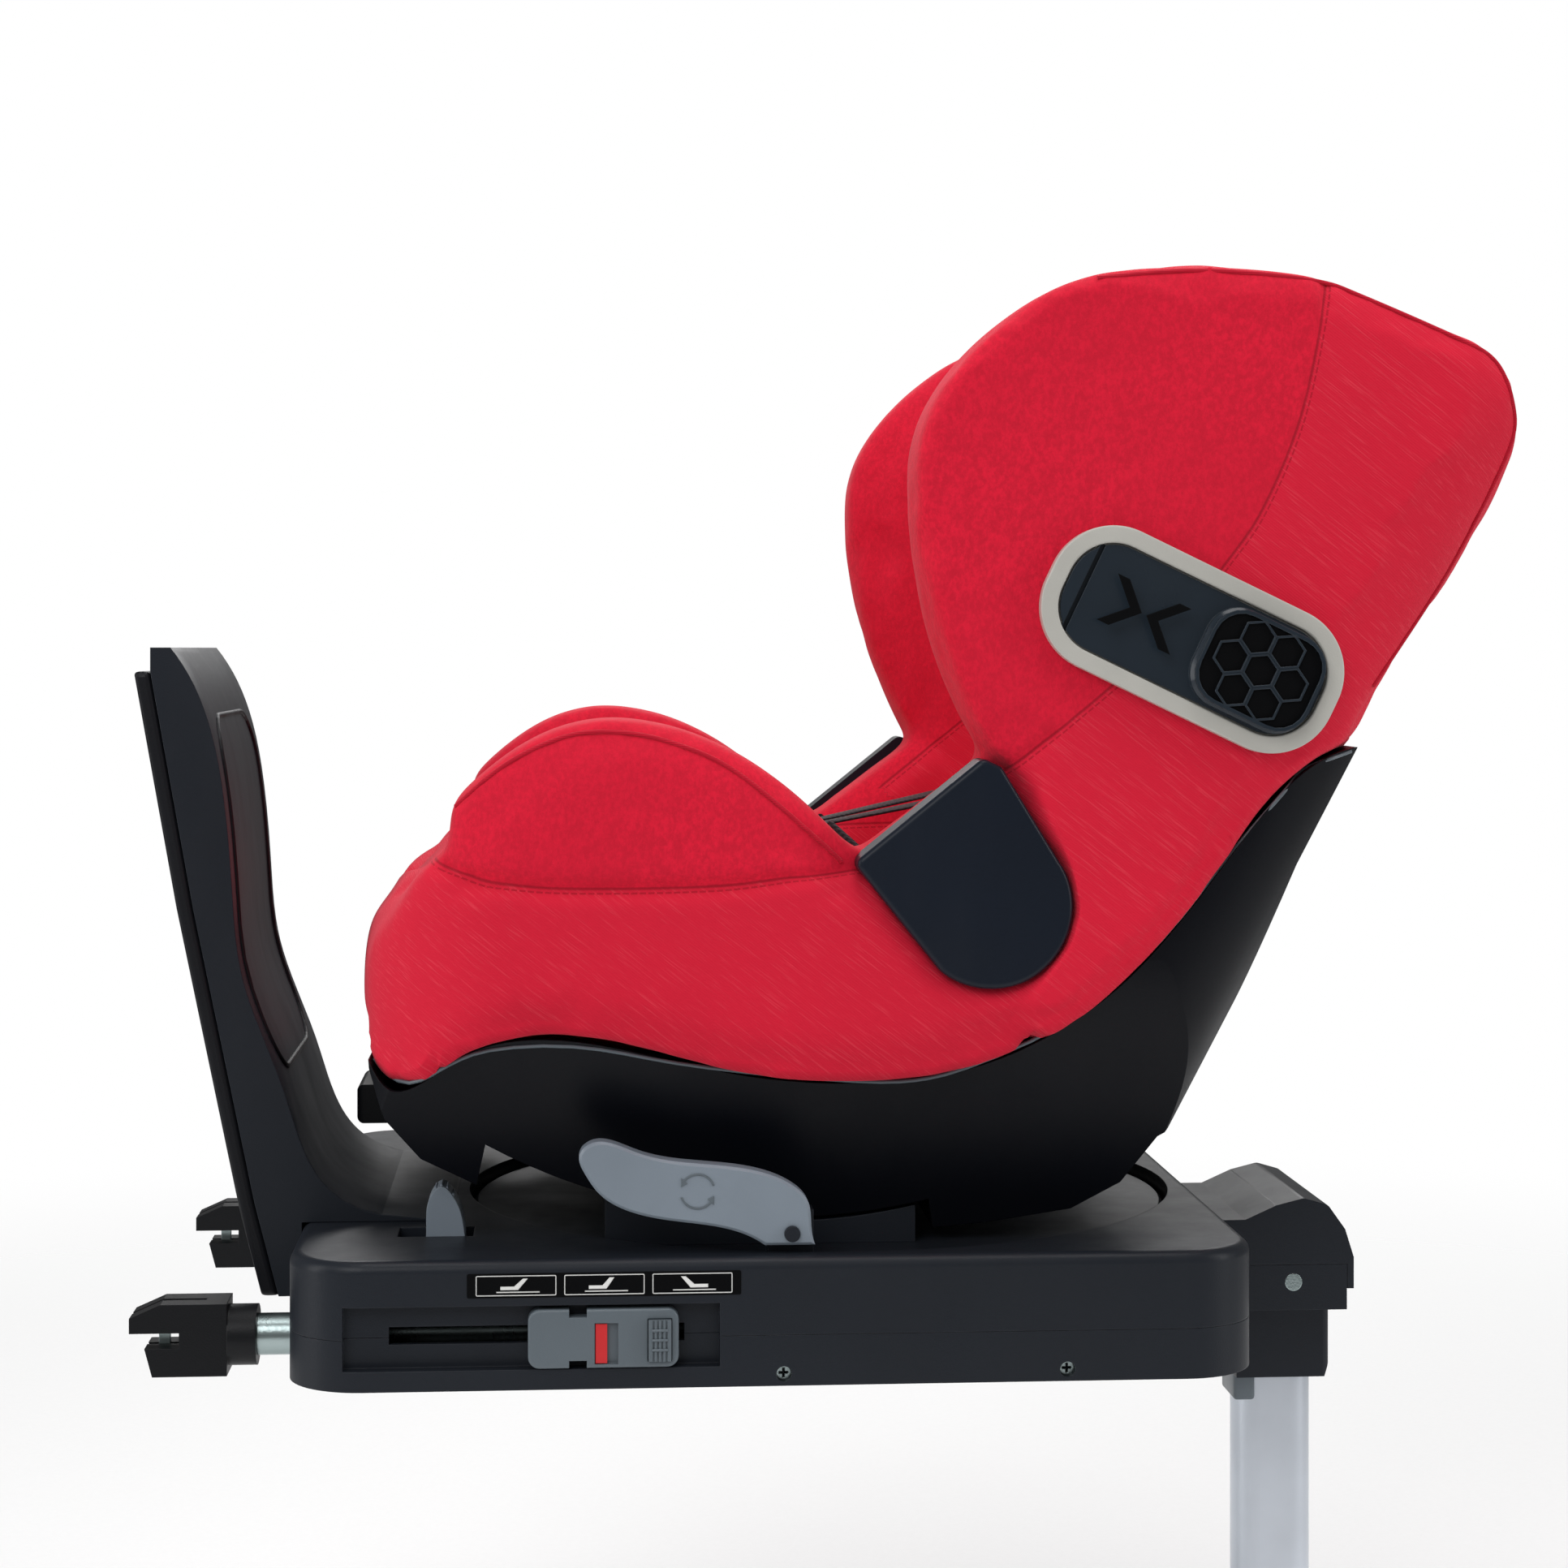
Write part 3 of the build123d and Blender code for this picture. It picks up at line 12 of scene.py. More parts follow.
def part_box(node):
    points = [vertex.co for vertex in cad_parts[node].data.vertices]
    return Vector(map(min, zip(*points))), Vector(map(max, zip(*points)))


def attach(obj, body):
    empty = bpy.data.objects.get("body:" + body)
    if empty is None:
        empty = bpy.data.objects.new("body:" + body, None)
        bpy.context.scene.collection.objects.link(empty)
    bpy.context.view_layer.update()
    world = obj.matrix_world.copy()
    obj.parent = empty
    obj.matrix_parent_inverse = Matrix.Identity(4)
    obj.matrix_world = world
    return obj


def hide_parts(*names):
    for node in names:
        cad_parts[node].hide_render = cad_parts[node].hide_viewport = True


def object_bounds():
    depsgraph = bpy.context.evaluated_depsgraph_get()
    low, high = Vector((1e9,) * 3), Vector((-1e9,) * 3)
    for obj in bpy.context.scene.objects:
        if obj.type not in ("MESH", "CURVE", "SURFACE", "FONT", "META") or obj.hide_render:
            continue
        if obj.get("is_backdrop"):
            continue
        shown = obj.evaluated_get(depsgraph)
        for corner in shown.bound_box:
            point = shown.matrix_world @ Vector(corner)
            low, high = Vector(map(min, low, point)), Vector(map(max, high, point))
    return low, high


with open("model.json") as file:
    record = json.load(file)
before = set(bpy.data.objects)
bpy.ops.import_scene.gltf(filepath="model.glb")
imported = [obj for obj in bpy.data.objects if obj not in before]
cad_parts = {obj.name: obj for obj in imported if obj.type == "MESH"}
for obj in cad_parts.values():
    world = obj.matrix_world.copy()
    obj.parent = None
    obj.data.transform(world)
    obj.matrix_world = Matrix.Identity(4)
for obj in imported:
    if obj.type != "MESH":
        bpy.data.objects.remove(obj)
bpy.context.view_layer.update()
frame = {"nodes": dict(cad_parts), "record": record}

bl_info = {
    "name": "Turning Child Seat Dresser",
    "version": (1, 0, 0),
    "blender": (4, 5, 0),
    "location": "View3D > Sidebar > Child Seat",
    "description": "Covers, piping, harness, trim and finishes for a turning child seat",
    "category": "Object",
}

MM = 0.001
SIDES = ((-1, "left"), (1, "right"))
WING_FACE = 0.215
LEAN = radians(28)
UP_BACK = Vector((sin(LEAN), 0, cos(LEAN)))
OUT_BACK = Vector((cos(LEAN), 0, -sin(LEAN)))

# Side-view routes of the seat, as (x, z) in millimetres.
LOWER_EDGE = [(-250, 163), (-232, 148), (-204, 165), (-160, 176), (-69, 158), (5, 150)]
LOWER_EDGE += [(66, 158), (134, 196), (209, 282), (240, 314), (268, 324)]
WING_TOP = [(80, 553), (127, 578), (182, 583), (244, 578), (269, 570), (319, 549), (344, 536), (355, 517)]
WING_REAR = [(361, 494), (351, 462), (329, 417), (284, 354)]
WING_SEAM = [(252, 590), (247, 559), (234, 499), (214, 451), (194, 422)]
WING_SEAM += [(165, 386), (136, 360), (81, 315), (50, 290)]
BOLSTER_SEAM = [(-240, 282), (-204, 264), (-180, 258), (-143, 255), (-69, 256)]
BOLSTER_SEAM += [(-20, 262), (40, 268), (130, 268)]
BOLSTER_TOP = [(-211, 298), (-182, 323), (-148, 339), (-118, 341), (-89, 335)]
BOLSTER_TOP += [(-56, 320), (-15, 286), (0, 272)]

# Width of the rounded edges on the large mouldings, in metres.
SOFT_EDGES = {
    "rebound_back_shell": 0.003,
    "rebound_front_cover": 0.007,
    "leg_housing": 0.0015,
    "neck_cover": 0.002,
}


# A point and the fall of the line that parts the wing from the thigh bolster in the side view.
BOLSTER_LINE_POINT = (0.035, 0.300)
BOLSTER_LINE_FALL = 0.75

# Impact pod: its middle in the side view, its dip to the back, and places along its own length.
POD_MIDDLE = (0.176, 0.383)
POD_DIP = radians(-25.7)
POD_HINGE_X = -0.0645
POD_CROSS_X = -0.030
POD_PAD_X = 0.037
HONEYCOMB_CELL = 0.0170
HONEYCOMB_ROWS = ((-1, 2), (0, 3), (1, 2))

# Guide plate on the base: its middle in the side view, and each sign's place and lean.
GUIDE_MIDDLE = (-0.127, 0.0535)
GUIDE_SIGNS = ((-0.172, 0.5), (-0.127, 0.35), (-0.082, -0.5))


# ---- settings ----
def tint(name, description, default):
    return FloatVectorProperty(name=name, description=description, subtype="COLOR", default=default)


def length(name, description, default):
    return FloatProperty(name=name, description=description, subtype="DISTANCE", default=default)


class ChildSeatFabric(bpy.types.PropertyGroup):
    velour: tint("Velour", "Colour of the plush front zones", (0.72, 0.008, 0.035))
    woven: tint("Woven", "Colour of the slub woven zones", (0.66, 0.010, 0.036))
    lining: tint("Lining", "Colour of the smooth inner fabric", (0.74, 0.012, 0.040))
    webbing: tint("Webbing", "Colour of the harness webbing", (0.020, 0.020, 0.024))
    voxel: length("Voxel", "Remesh size of a stuffed piece", 0.005)
    pressure: FloatProperty(name="Pressure", description="Stuffing pressure of the cushions", default=4.0)
    piping: length("Piping", "Radius of the piping", 0.0021)
    channel: length("Channel", "Depth of a sewn seam", 0.0022)


class ChildSeatPlastic(bpy.types.PropertyGroup):
    base: tint("Base", "Colour of the base mouldings", (0.013, 0.016, 0.022))
    shell: tint("Shell", "Colour of the seat's lower shell", (0.0030, 0.0036, 0.0060))
    guard: tint("Guard", "Colour of the side guards", (0.008, 0.012, 0.021))
    lever: tint("Levers", "Colour of the grey levers", (0.205, 0.245, 0.290))
    slider: tint("Sliders", "Colour of the side sliders", (0.105, 0.130, 0.150))
    trim: tint("Pod frame", "Colour of the pod's oval frame", (0.50, 0.49, 0.45))
    edge: length("Edge", "Width of the broken edges", 0.0008)


class ChildSeatStage(bpy.types.PropertyGroup):
    distance: length("Distance", "Camera to the seat's middle plane", 1.75)
    height: length("Height", "Camera above the base's underside", 0.378)
    azimuth: FloatProperty(name="Azimuth", description="Camera's turn about the seat", default=-4.0)
    lens: FloatProperty(name="Lens", description="Focal length on a 36 mm sensor", default=68.65)
    light: FloatProperty(name="Light", description="Strength of the soft lights", default=1.0)
    gap: IntProperty(name="Floor gap", description="Millimetres between the foot and the floor", default=1)


# ---- routes ----
def smooth_route(points, per_span=8):
    """Evenly curved (x, z) route in metres through points in millimetres."""
    p = [Vector(q) * MM for q in points]
    p = [2 * p[0] - p[1], *p, 2 * p[-1] - p[-2]]
    route = []
    for i in range(1, len(p) - 2):
        for k in range(per_span):
            t = k / per_span
            a, b, c, d = p[i - 1 : i + 3]
            square, cube = 2 * a - 5 * b + 4 * c - d, 3 * b - a - 3 * c + d
            route.append(0.5 * (2 * b + (c - a) * t + square * t**2 + cube * t**3))
    return [*route, p[-2]]


def shifted(route, distance):
    """Route moved sideways, to the left of its own direction."""
    moved = []
    for i, point in enumerate(route):
        run = route[min(i + 1, len(route) - 1)] - route[max(i - 1, 0)]
        moved.append(point + Vector((-run.y, run.x)).normalized() * distance)
    return moved


def seam_measure(points, route):
    """Signed distance from a route and place along it, for (x, z) rows in metres."""
    line = np.array([tuple(q) for q in route])
    start, run = line[:-1], line[1:] - line[:-1]
    length = np.linalg.norm(run, axis=1)
    before = np.concatenate(([0], np.cumsum(length)[:-1]))
    offset = points[:, None, :] - start[None]
    t = np.clip((offset * run).sum(2) / (length**2), 0, 1)
    gap = offset - t[..., None] * run
    far = np.linalg.norm(gap, axis=2)
    best = far.argmin(1)
    rows = np.arange(len(points))
    cross = run[best, 0] * offset[rows, best, 1] - run[best, 1] * offset[rows, best, 0]
    return far[rows, best] * np.sign(cross), before[best] + t[rows, best] * length[best]


# ---- mesh tools ----
def keep(name, mesh, body, materials, smooth=True):
    """Makes a finished object of a mesh, and lets it ride on a body."""
    piece = bpy.data.objects.new(name, mesh)
    bpy.context.scene.collection.objects.link(piece)
    for material in materials:
        mesh.materials.append(material)
    if smooth:
        mesh.shade_smooth()
    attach(piece, body)
    return piece


def from_bmesh(bm, name):
    mesh = bpy.data.meshes.new(name)
    bm.to_mesh(mesh)
    bm.free()
    return mesh


def finished(bm, name, body, material, smooth=False):
    """Turns the faces outwards and keeps the bmesh as a piece."""
    bmesh.ops.remove_doubles(bm, verts=bm.verts, dist=1e-6)
    bmesh.ops.recalc_face_normals(bm, faces=bm.faces)
    return keep(name, from_bmesh(bm, name), body, [material], smooth)


def side_reach(node):
    """How far a CAD node reaches from the middle plane."""
    low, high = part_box(node)
    return max(abs(low.y), abs(high.y))


def applied(piece):
    """Mesh of the piece with its modifiers taken into it."""
    depsgraph = bpy.context.evaluated_depsgraph_get()
    mesh = bpy.data.meshes.new_from_object(piece.evaluated_get(depsgraph))
    piece.modifiers.clear()
    old = piece.data
    piece.data = mesh
    bpy.data.meshes.remove(old)
    return mesh


def coordinates(mesh):
    flat = np.empty(len(mesh.vertices) * 3)
    mesh.vertices.foreach_get("co", flat)
    return flat.reshape(-1, 3)


def set_coordinates(mesh, rows):
    mesh.vertices.foreach_set("co", rows.ravel())
    mesh.update()


def stuff(piece, travel):
    """Fills the piece by cloth pressure. No point goes further than the travel."""
    rest = coordinates(piece.data)
    cloth = piece.modifiers.new("Stuffing", "CLOTH")
    cloth.settings.use_pressure = True
    cloth.settings.uniform_pressure_force = bpy.context.scene.child_seat_fabric.pressure
    cloth.settings.effector_weights.gravity = 0
    scene = bpy.context.scene
    for step in range(1, 21):
        scene.frame_set(step)
    depsgraph = bpy.context.evaluated_depsgraph_get()
    full = coordinates(piece.evaluated_get(depsgraph).to_mesh())
    piece.modifiers.clear()
    scene.frame_set(1)
    move = full - rest
    reach = np.linalg.norm(move, axis=1, keepdims=True)
    move *= np.minimum(1, travel / np.maximum(reach, 1e-9))
    set_coordinates(piece.data, rest + move)


def cushion(name, nodes, body, material, travel=0.006, rounding=10, voxel=None):
    """Stuffed piece from CAD pads: remeshed as one, rounded, filled and subdivided once."""
    bm = bmesh.new()
    for node in nodes:
        bm.from_mesh(frame["nodes"][node].data)
    bmesh.ops.remove_doubles(bm, verts=bm.verts, dist=1e-5)
    piece = keep(name, from_bmesh(bm, name), body, [])
    remesh = piece.modifiers.new("Even", "REMESH")
    remesh.mode = "VOXEL"
    remesh.voxel_size = voxel or bpy.context.scene.child_seat_fabric.voxel
    mesh = applied(piece)
    bm = bmesh.new()
    bm.from_mesh(mesh)
    for _ in range(rounding):
        axes = {"use_axis_x": True, "use_axis_y": True, "use_axis_z": True}
        bmesh.ops.smooth_vert(bm, verts=bm.verts, factor=0.5, **axes)
    bm.to_mesh(mesh)
    bm.free()
    stuff(piece, travel)
    finer = piece.modifiers.new("Finer", "SUBSURF")
    finer.levels = finer.render_levels = 1
    mesh = applied(piece)
    mesh.materials.clear()
    mesh.materials.append(material)
    mesh.shade_smooth()
    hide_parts(*nodes)
    return piece


def tuck(piece, nodes, route, width):
    """Brings the points near a route back to the CAD pads, so that the edge meets its neighbour."""
    rows = coordinates(piece.data)
    distance, _ = seam_measure(rows[:, [0, 2]], route)
    trees = [tree_of(frame["nodes"][node]) for node in nodes]
    for i in np.flatnonzero(np.abs(distance) < 2 * width):
        point = Vector(rows[i])
        near = min((tree.find_nearest(point) for tree in trees), key=lambda hit: hit[3])
        rows[i] = point.lerp(near[0], float(np.exp(-((distance[i] / width) ** 2))))
    set_coordinates(piece.data, rows)


def write_attribute(mesh, name, values):
    layer = mesh.attributes.new(name, "FLOAT", "POINT")
    layer.data.foreach_set("value", values)


def sew(piece, route, depth=None, width=0.0035, mask=None, plane=(0, 2)):
    """Presses a seam into the piece along a route and gives back how far each point is from it and where
    along it.
    """
    mesh = piece.data
    rows = coordinates(mesh)
    distance, along = seam_measure(rows[:, list(plane)], route)
    normals = np.empty(len(rows) * 3)
    mesh.vertices.foreach_get("normal", normals)
    normals = normals.reshape(-1, 3)
    depth = bpy.context.scene.child_seat_fabric.channel if depth is None else depth
    press = depth * np.exp(-((distance / width) ** 2))
    if mask is not None:
        press = press * mask(rows, normals)
    set_coordinates(mesh, rows - normals * press[:, None])
    return distance, along


def tree_of(piece):
    """Search tree of a piece's or a CAD node's surface."""
    bm = bmesh.new()
    bm.from_mesh(piece.data)
    tree = BVHTree.FromBMesh(bm)
    bm.free()
    return tree


def on_side(trees, route, side, lift):
    """Places (x, z) points on the outermost surface, seen from one side."""
    found = []
    for x, z in route:
        hits = [tree.ray_cast(Vector((x, side * 0.4, z)), Vector((0, -side, 0))) for tree in trees]
        hits = [hit for hit in hits if hit[0] is not None and hit[0].y * side > 0.08]
        if hits:
            hit = max(hits, key=lambda h: h[0].y * side)
            found.append(hit[0] + hit[1].normalized() * lift)
    return found


def tube(name, points, radius, body, material, closed=False, sides=3):
    """Round cord of piping or trim through the points."""
    curve = bpy.data.curves.new(name, "CURVE")
    curve.dimensions = "3D"
    curve.bevel_depth = radius
    curve.bevel_resolution = sides
    curve.use_fill_caps = True
    spline = curve.splines.new("POLY")
    spline.points.add(len(points) - 1)
    for spot, place in zip(spline.points, points):
        spot.co = (*place, 1)
    spline.use_cyclic_u = closed
    holder = bpy.data.objects.new(name + "_route", curve)
    bpy.context.scene.collection.objects.link(holder)
    mesh = bpy.data.meshes.new_from_object(holder.evaluated_get(bpy.context.evaluated_depsgraph_get()))
    bpy.data.objects.remove(holder)
    return keep(name, mesh, body, [material])


def steadied(points, rounds=3):
    """Evens out a route that was laid on a surface."""
    points = [p.copy() for p in points]
    for _ in range(rounds):
        inner = [(points[i - 1] + 2 * points[i] + points[i + 1]) / 4 for i in range(1, len(points) - 1)]
        points = [points[0], *inner, points[-1]]
    return points


def pull(bm, faces, place, thickness):
    """Gives flat faces a thickness along the place's own z."""
    pulled = bmesh.ops.extrude_face_region(bm, geom=faces)
    moved = [g for g in pulled["geom"] if isinstance(g, bmesh.types.BMVert)]
    bmesh.ops.translate(bm, verts=moved, vec=place.to_3x3() @ Vector((0, 0, thickness)))


def plate(bm, outline, place, thickness):
    """Flat plate with a given (x, y) outline, stood at a place."""
    verts = [bm.verts.new(place @ Vector((x, y, 0))) for x, y in outline]
    pull(bm, [bm.faces.new(verts)], place, thickness)


def side_place(x, y, z, side, turn=0.0):
    """Matrix whose local x runs back and y up in the side view, and whose z points outwards."""
    along = Vector((cos(turn), 0, sin(turn)))
    across = Vector((-sin(turn), 0, cos(turn)))
    place = Matrix((along, across, Vector((0, side, 0)))).transposed().to_4x4()
    place.translation = Vector((x, y, z))
    return place


def rounded(half_x, half_y, radius, steps=5):
    """Outline of a rounded rectangle about its middle."""
    outline = []
    for turn, (sx, sy) in enumerate(((1, 1), (-1, 1), (-1, -1), (1, -1))):
        for k in range(steps + 1):
            angle = (turn + k / steps) * pi / 2
            corner_x, corner_y = sx * (half_x - radius), sy * (half_y - radius)
            outline.append((corner_x + radius * cos(angle), corner_y + radius * sin(angle)))
    return outline


def band(bm, place, half_x, half_y, radius, width, thickness):
    """Raised frame round a rounded rectangle."""
    outer = rounded(half_x, half_y, radius)
    inner = rounded(half_x - width, half_y - width, max(radius - width, 0.0002))
    ring(bm, place, outer, inner, thickness)


def ring(bm, place, outer, inner, thickness, closed=True):
    """Strip between two outlines, pulled to its thickness."""
    far = [bm.verts.new(place @ Vector((x, y, 0))) for x, y in outer]
    near = [bm.verts.new(place @ Vector((x, y, 0))) for x, y in inner]
    count = len(far)
    faces = []
    for i in range(count if closed else count - 1):
        k = (i + 1) % count
        faces.append(bm.faces.new((far[i], far[k], near[k], near[i])))
    pull(bm, faces, place, thickness)


def hexagon(bm, place, reach, wall, height):
    """One honeycomb cell's walls."""
    spots = [(cos(pi / 6 + k * pi / 3), sin(pi / 6 + k * pi / 3)) for k in range(6)]
    outer = [(x * reach, y * reach) for x, y in spots]
    inner = [(x * (reach - wall), y * (reach - wall)) for x, y in spots]
    ring(bm, place, outer, inner, height)


def cross(bm, place, thickness):
    """Two bent slots of even width, back to back."""
    reach, width, gap = 0.0130, 0.0068, 0.0013
    for way in (-1, 1):
        near = [(gap + reach, reach), (gap, 0), (gap + reach, -reach)]
        outer = [(way * (x + width), y) for x, y in near]
        ring(bm, place, outer, [(way * x, y) for x, y in near], thickness, closed=False)


def arrow_arc(bm, place, radius, width, start, thickness):
    """Third of a circle with an arrow head at its end."""

    def spot(reach, angle):
        return reach * cos(angle), reach * sin(angle)

    sweep, steps, head_sweep = 2.1, 12, 0.42
    angles = [start + k * sweep / steps for k in range(steps + 1)]
    outer = [spot(radius + width / 2, a) for a in angles]
    inner = [spot(radius - width / 2, a) for a in angles]
    ring(bm, place, outer, inner, thickness, closed=False)
    end = angles[-1]
    head = [spot(radius + 2 * width, end), spot(radius, end + head_sweep), spot(radius - 2 * width, end)]
    plate(bm, head, place, thickness)


def seat_glyph(bm, place, lean, thickness=0.0002):
    """Small sign of a seat on a base: a leaning back, a cushion and a floor line."""
    line = [(-0.010, -0.0036), (0.012, -0.0036), (0.012, -0.0030), (-0.010, -0.0030)]
    plate(bm, line, place, thickness)
    up = place if lean > 0 else place @ Matrix.Scale(-1, 4, (1, 0, 0))
    tilt = abs(lean) * 0.006
    back = [(0.001, -0.0022), (0.003 + tilt, 0.0036), (0.0005 + tilt, 0.0036), (-0.001, -0.0004)]
    plate(bm, [(-0.008, -0.0022), *back, (-0.008, -0.0004)], up, thickness)


def soften(bm, edges, width, segments=2):
    bmesh.ops.bevel(bm, geom=edges, offset=width, segments=segments, affect="EDGES", profile=0.5, material=-1)


def ridge(bm, centre, half):
    """Soft bar: a box with rounded edges."""
    made = bmesh.ops.create_cube(bm, size=2.0)
    bmesh.ops.scale(bm, verts=made["verts"], vec=half)
    bmesh.ops.translate(bm, verts=made["verts"], vec=centre)
    soften(bm, list({e for v in made["verts"] for e in v.link_edges}), min(half) * 0.8)


def facing(towards):
    """Weight that goes from 0 to 1 as a point turns to face a direction."""
    return np.clip((towards - 0.3) / 0.4, 0, 1)


def outer_face(rows, normals):
    return facing(normals[:, 1] * np.sign(rows[:, 1]))


def on_bolster(rows):
    """True for the points in front of and under the line between the wing and the thigh bolster."""
    return rows[:, 2] < BOLSTER_LINE_POINT[1] - BOLSTER_LINE_FALL * (rows[:, 0] - BOLSTER_LINE_POINT[0])


def outer_upper(rows, normals):
    return outer_face(rows, normals) * ~on_bolster(rows)


def outer_lower(rows, normals):
    return outer_face(rows, normals) * on_bolster(rows)


def upward(rows, normals):
    return facing(normals[:, 2])


def forward(rows, normals):
    return facing(-normals[:, 0])


def flatten(piece, reach):
    """Keeps the piece inside a distance from the middle plane."""
    rows = coordinates(piece.data)
    rows[:, 1] = np.clip(rows[:, 1], -reach, reach)
    set_coordinates(piece.data, rows)


# ---- shader tools ----
def wire(tree, kind, feeds=None, out=0, **settings):
    """Adds a shader node, sets or links its inputs, and gives back one output."""
    node = tree.nodes.new("ShaderNode" + kind)
    for key, value in settings.items():
        setattr(node, key, value)
    for socket, value in (feeds or {}).items():
        if isinstance(value, bpy.types.NodeSocket):
            tree.links.new(value, node.inputs[socket])
        else:
            node.inputs[socket].default_value = value
    return node.outputs[out]


def sums(tree, operation, a, b=0.0, clamp=False):
    return wire(tree, "Math", {0: a, 1: b}, operation=operation, use_clamp=clamp)


def plus(tree, a, b, clamp=False):
    return sums(tree, "ADD", a, b, clamp)


def times(tree, a, b):
    return sums(tree, "MULTIPLY", a, b)


def span(tree, value, low, high, first=0.0, last=1.0):
    """Smooth step of a value between two limits."""
    feeds = {"Value": value, "From Min": low, "From Max": high, "To Min": first, "To Max": last}
    return wire(tree, "MapRange", feeds, interpolation_type="SMOOTHSTEP")


def mixed(tree, factor, a, b):
    return wire(tree, "Mix", {0: factor, 6: a, 7: b}, out=2, data_type="RGBA")


def mixed_value(tree, factor, a, b):
    return wire(tree, "Mix", {0: factor, 2: a, 3: b}, data_type="FLOAT")


def place_of(tree, scale=(1, 1, 1), turn=(0, 0, 0)):
    """Object coordinates, scaled and turned."""
    spot = wire(tree, "TexCoord", out="Object")
    turned = wire(tree, "Mapping", {"Vector": spot, "Rotation": turn})
    return wire(tree, "Mapping", {"Vector": turned, "Scale": scale})


def noise(tree, vector, scale, detail=3.0, roughness=0.5):
    feeds = {"Vector": vector, "Scale": scale, "Detail": detail, "Roughness": roughness}
    return wire(tree, "TexNoise", feeds)


def bands(tree, vector, direction, scale, distortion):
    feeds = {"Vector": vector, "Scale": scale, "Distortion": distortion}
    return wire(tree, "TexWave", feeds, out="Fac", wave_type="BANDS", bands_direction=direction)


def shared(name):
    """Node group of that name, built the first time it is asked for."""
    group = bpy.data.node_groups.get(name)
    if group:
        return group
    inputs, outputs, build = NODE_GROUPS[name]
    group = bpy.data.node_groups.new(name, "ShaderNodeTree")
    for label, value in inputs.items():
        kind = "NodeSocketFloat" if isinstance(value, float) else "NodeSocketColor"
        group.interface.new_socket(label, in_out="INPUT", socket_type=kind).default_value = value
    for label, kind in outputs.items():
        group.interface.new_socket(label, in_out="OUTPUT", socket_type="NodeSocket" + kind)
    start, end = group.nodes.new("NodeGroupInput"), group.nodes.new("NodeGroupOutput")
    for label, socket in build(group, start.outputs).items():
        group.links.new(socket, end.inputs[label])
    return group


def use(tree, name, **values):
    """Places a node group in a material and gives back its outputs."""
    node = tree.nodes.new("ShaderNodeGroup")
    node.node_tree = shared(name)
    for label, value in values.items():
        if isinstance(value, bpy.types.NodeSocket):
            tree.links.new(value, node.inputs[label])
        else:
            node.inputs[label].default_value = value
    return node.outputs


def build_pile(tree, given):
    fine = noise(tree, place_of(tree), 1500.0, 2.0)
    nap = noise(tree, place_of(tree, (1, 1, 0.7)), 420.0, 4.0, 0.65)
    brushed = noise(tree, place_of(tree, (1, 1, 1.6), (0, 0.6, 0)), 90.0, 3.0, 0.6)
    height = plus(tree, times(tree, fine, 0.35), times(tree, nap, 0.65))
    light = span(tree, plus(tree, nap, times(tree, brushed, 0.35)), 0.50, 0.90)
    return {"Light": light, "Height": height}


def build_slub(tree, given):
    turn = (0, radians(-38), 0)
    yarn = noise(tree, place_of(tree, (42, 90, 1150), turn), 1.0, 2.0, 0.6)
    streak = span(tree, yarn, 0.53, 0.70)
    across = noise(tree, place_of(tree, (520, 520, 60), turn), 1.0, 1.0)
    rows = bands(tree, place_of(tree, turn=turn), "Z", 260.0, 1.2)
    cloth = plus(tree, times(tree, rows, 0.35), times(tree, across, 0.4))
    height = plus(tree, cloth, times(tree, streak, 0.35))
    return {"Light": times(tree, streak, given["Strength"]), "Height": height}


def build_knit(tree, given):
    loops = bands(tree, place_of(tree), "Z", 300.0, 0.6)
    ribs = bands(tree, place_of(tree), "Y", 230.0, 0.5)
    soft = noise(tree, place_of(tree), 700.0, 2.0)
    height = plus(tree, times(tree, loops, ribs), times(tree, soft, 0.5))
    return {"Light": span(tree, height, 0.15, 1.2), "Height": height}


def build_webbing(tree, given):
    twill = bands(tree, place_of(tree), "DIAGONAL", 170.0, 0.3)
    ribs = bands(tree, place_of(tree), "Y", 95.0, 0.0)
    height = plus(tree, times(tree, twill, 0.7), times(tree, ribs, 0.5))
    return {"Light": span(tree, height, 0.2, 1.1), "Height": height}


def build_grain(tree, given):
    spot = place_of(tree)
    cells = wire(tree, "TexVoronoi", {"Vector": spot, "Scale": given["Scale"]}, out="Distance")
    dust = noise(tree, spot, 900.0, 2.0)
    smear = noise(tree, place_of(tree, (1, 1, 0.35)), 14.0, 5.0, 0.6)
    rough = plus(tree, given["Roughness"], span(tree, smear, 0.35, 0.75, -0.05, 0.08), clamp=True)
    height = plus(tree, times(tree, cells, 0.8), times(tree, dust, 0.3))
    return {"Height": height, "Roughness": rough}


def build_drift(tree, given):
    broad = noise(tree, place_of(tree), given["Scale"], 4.0, 0.55)
    return {"Colour": mixed(tree, span(tree, broad, 0.3, 0.7), given["Colour"], given["Second"])}


def build_wear(tree, given):
    """Rounded normal of an edge, and a mask of where handling has rubbed it."""
    soft = wire(tree, "Bevel", {"Radius": given["Width"]}, samples=6)
    flat = wire(tree, "NewGeometry", out="Normal")
    turn = wire(tree, "VectorMath", {0: soft, 1: flat}, out="Value", operation="DOT_PRODUCT")
    edge = span(tree, turn, 0.985, 0.80)
    rubbed = span(tree, noise(tree, place_of(tree), 60.0, 4.0), 0.42, 0.66)
    return {"Mask": times(tree, edge, rubbed), "Normal": soft}


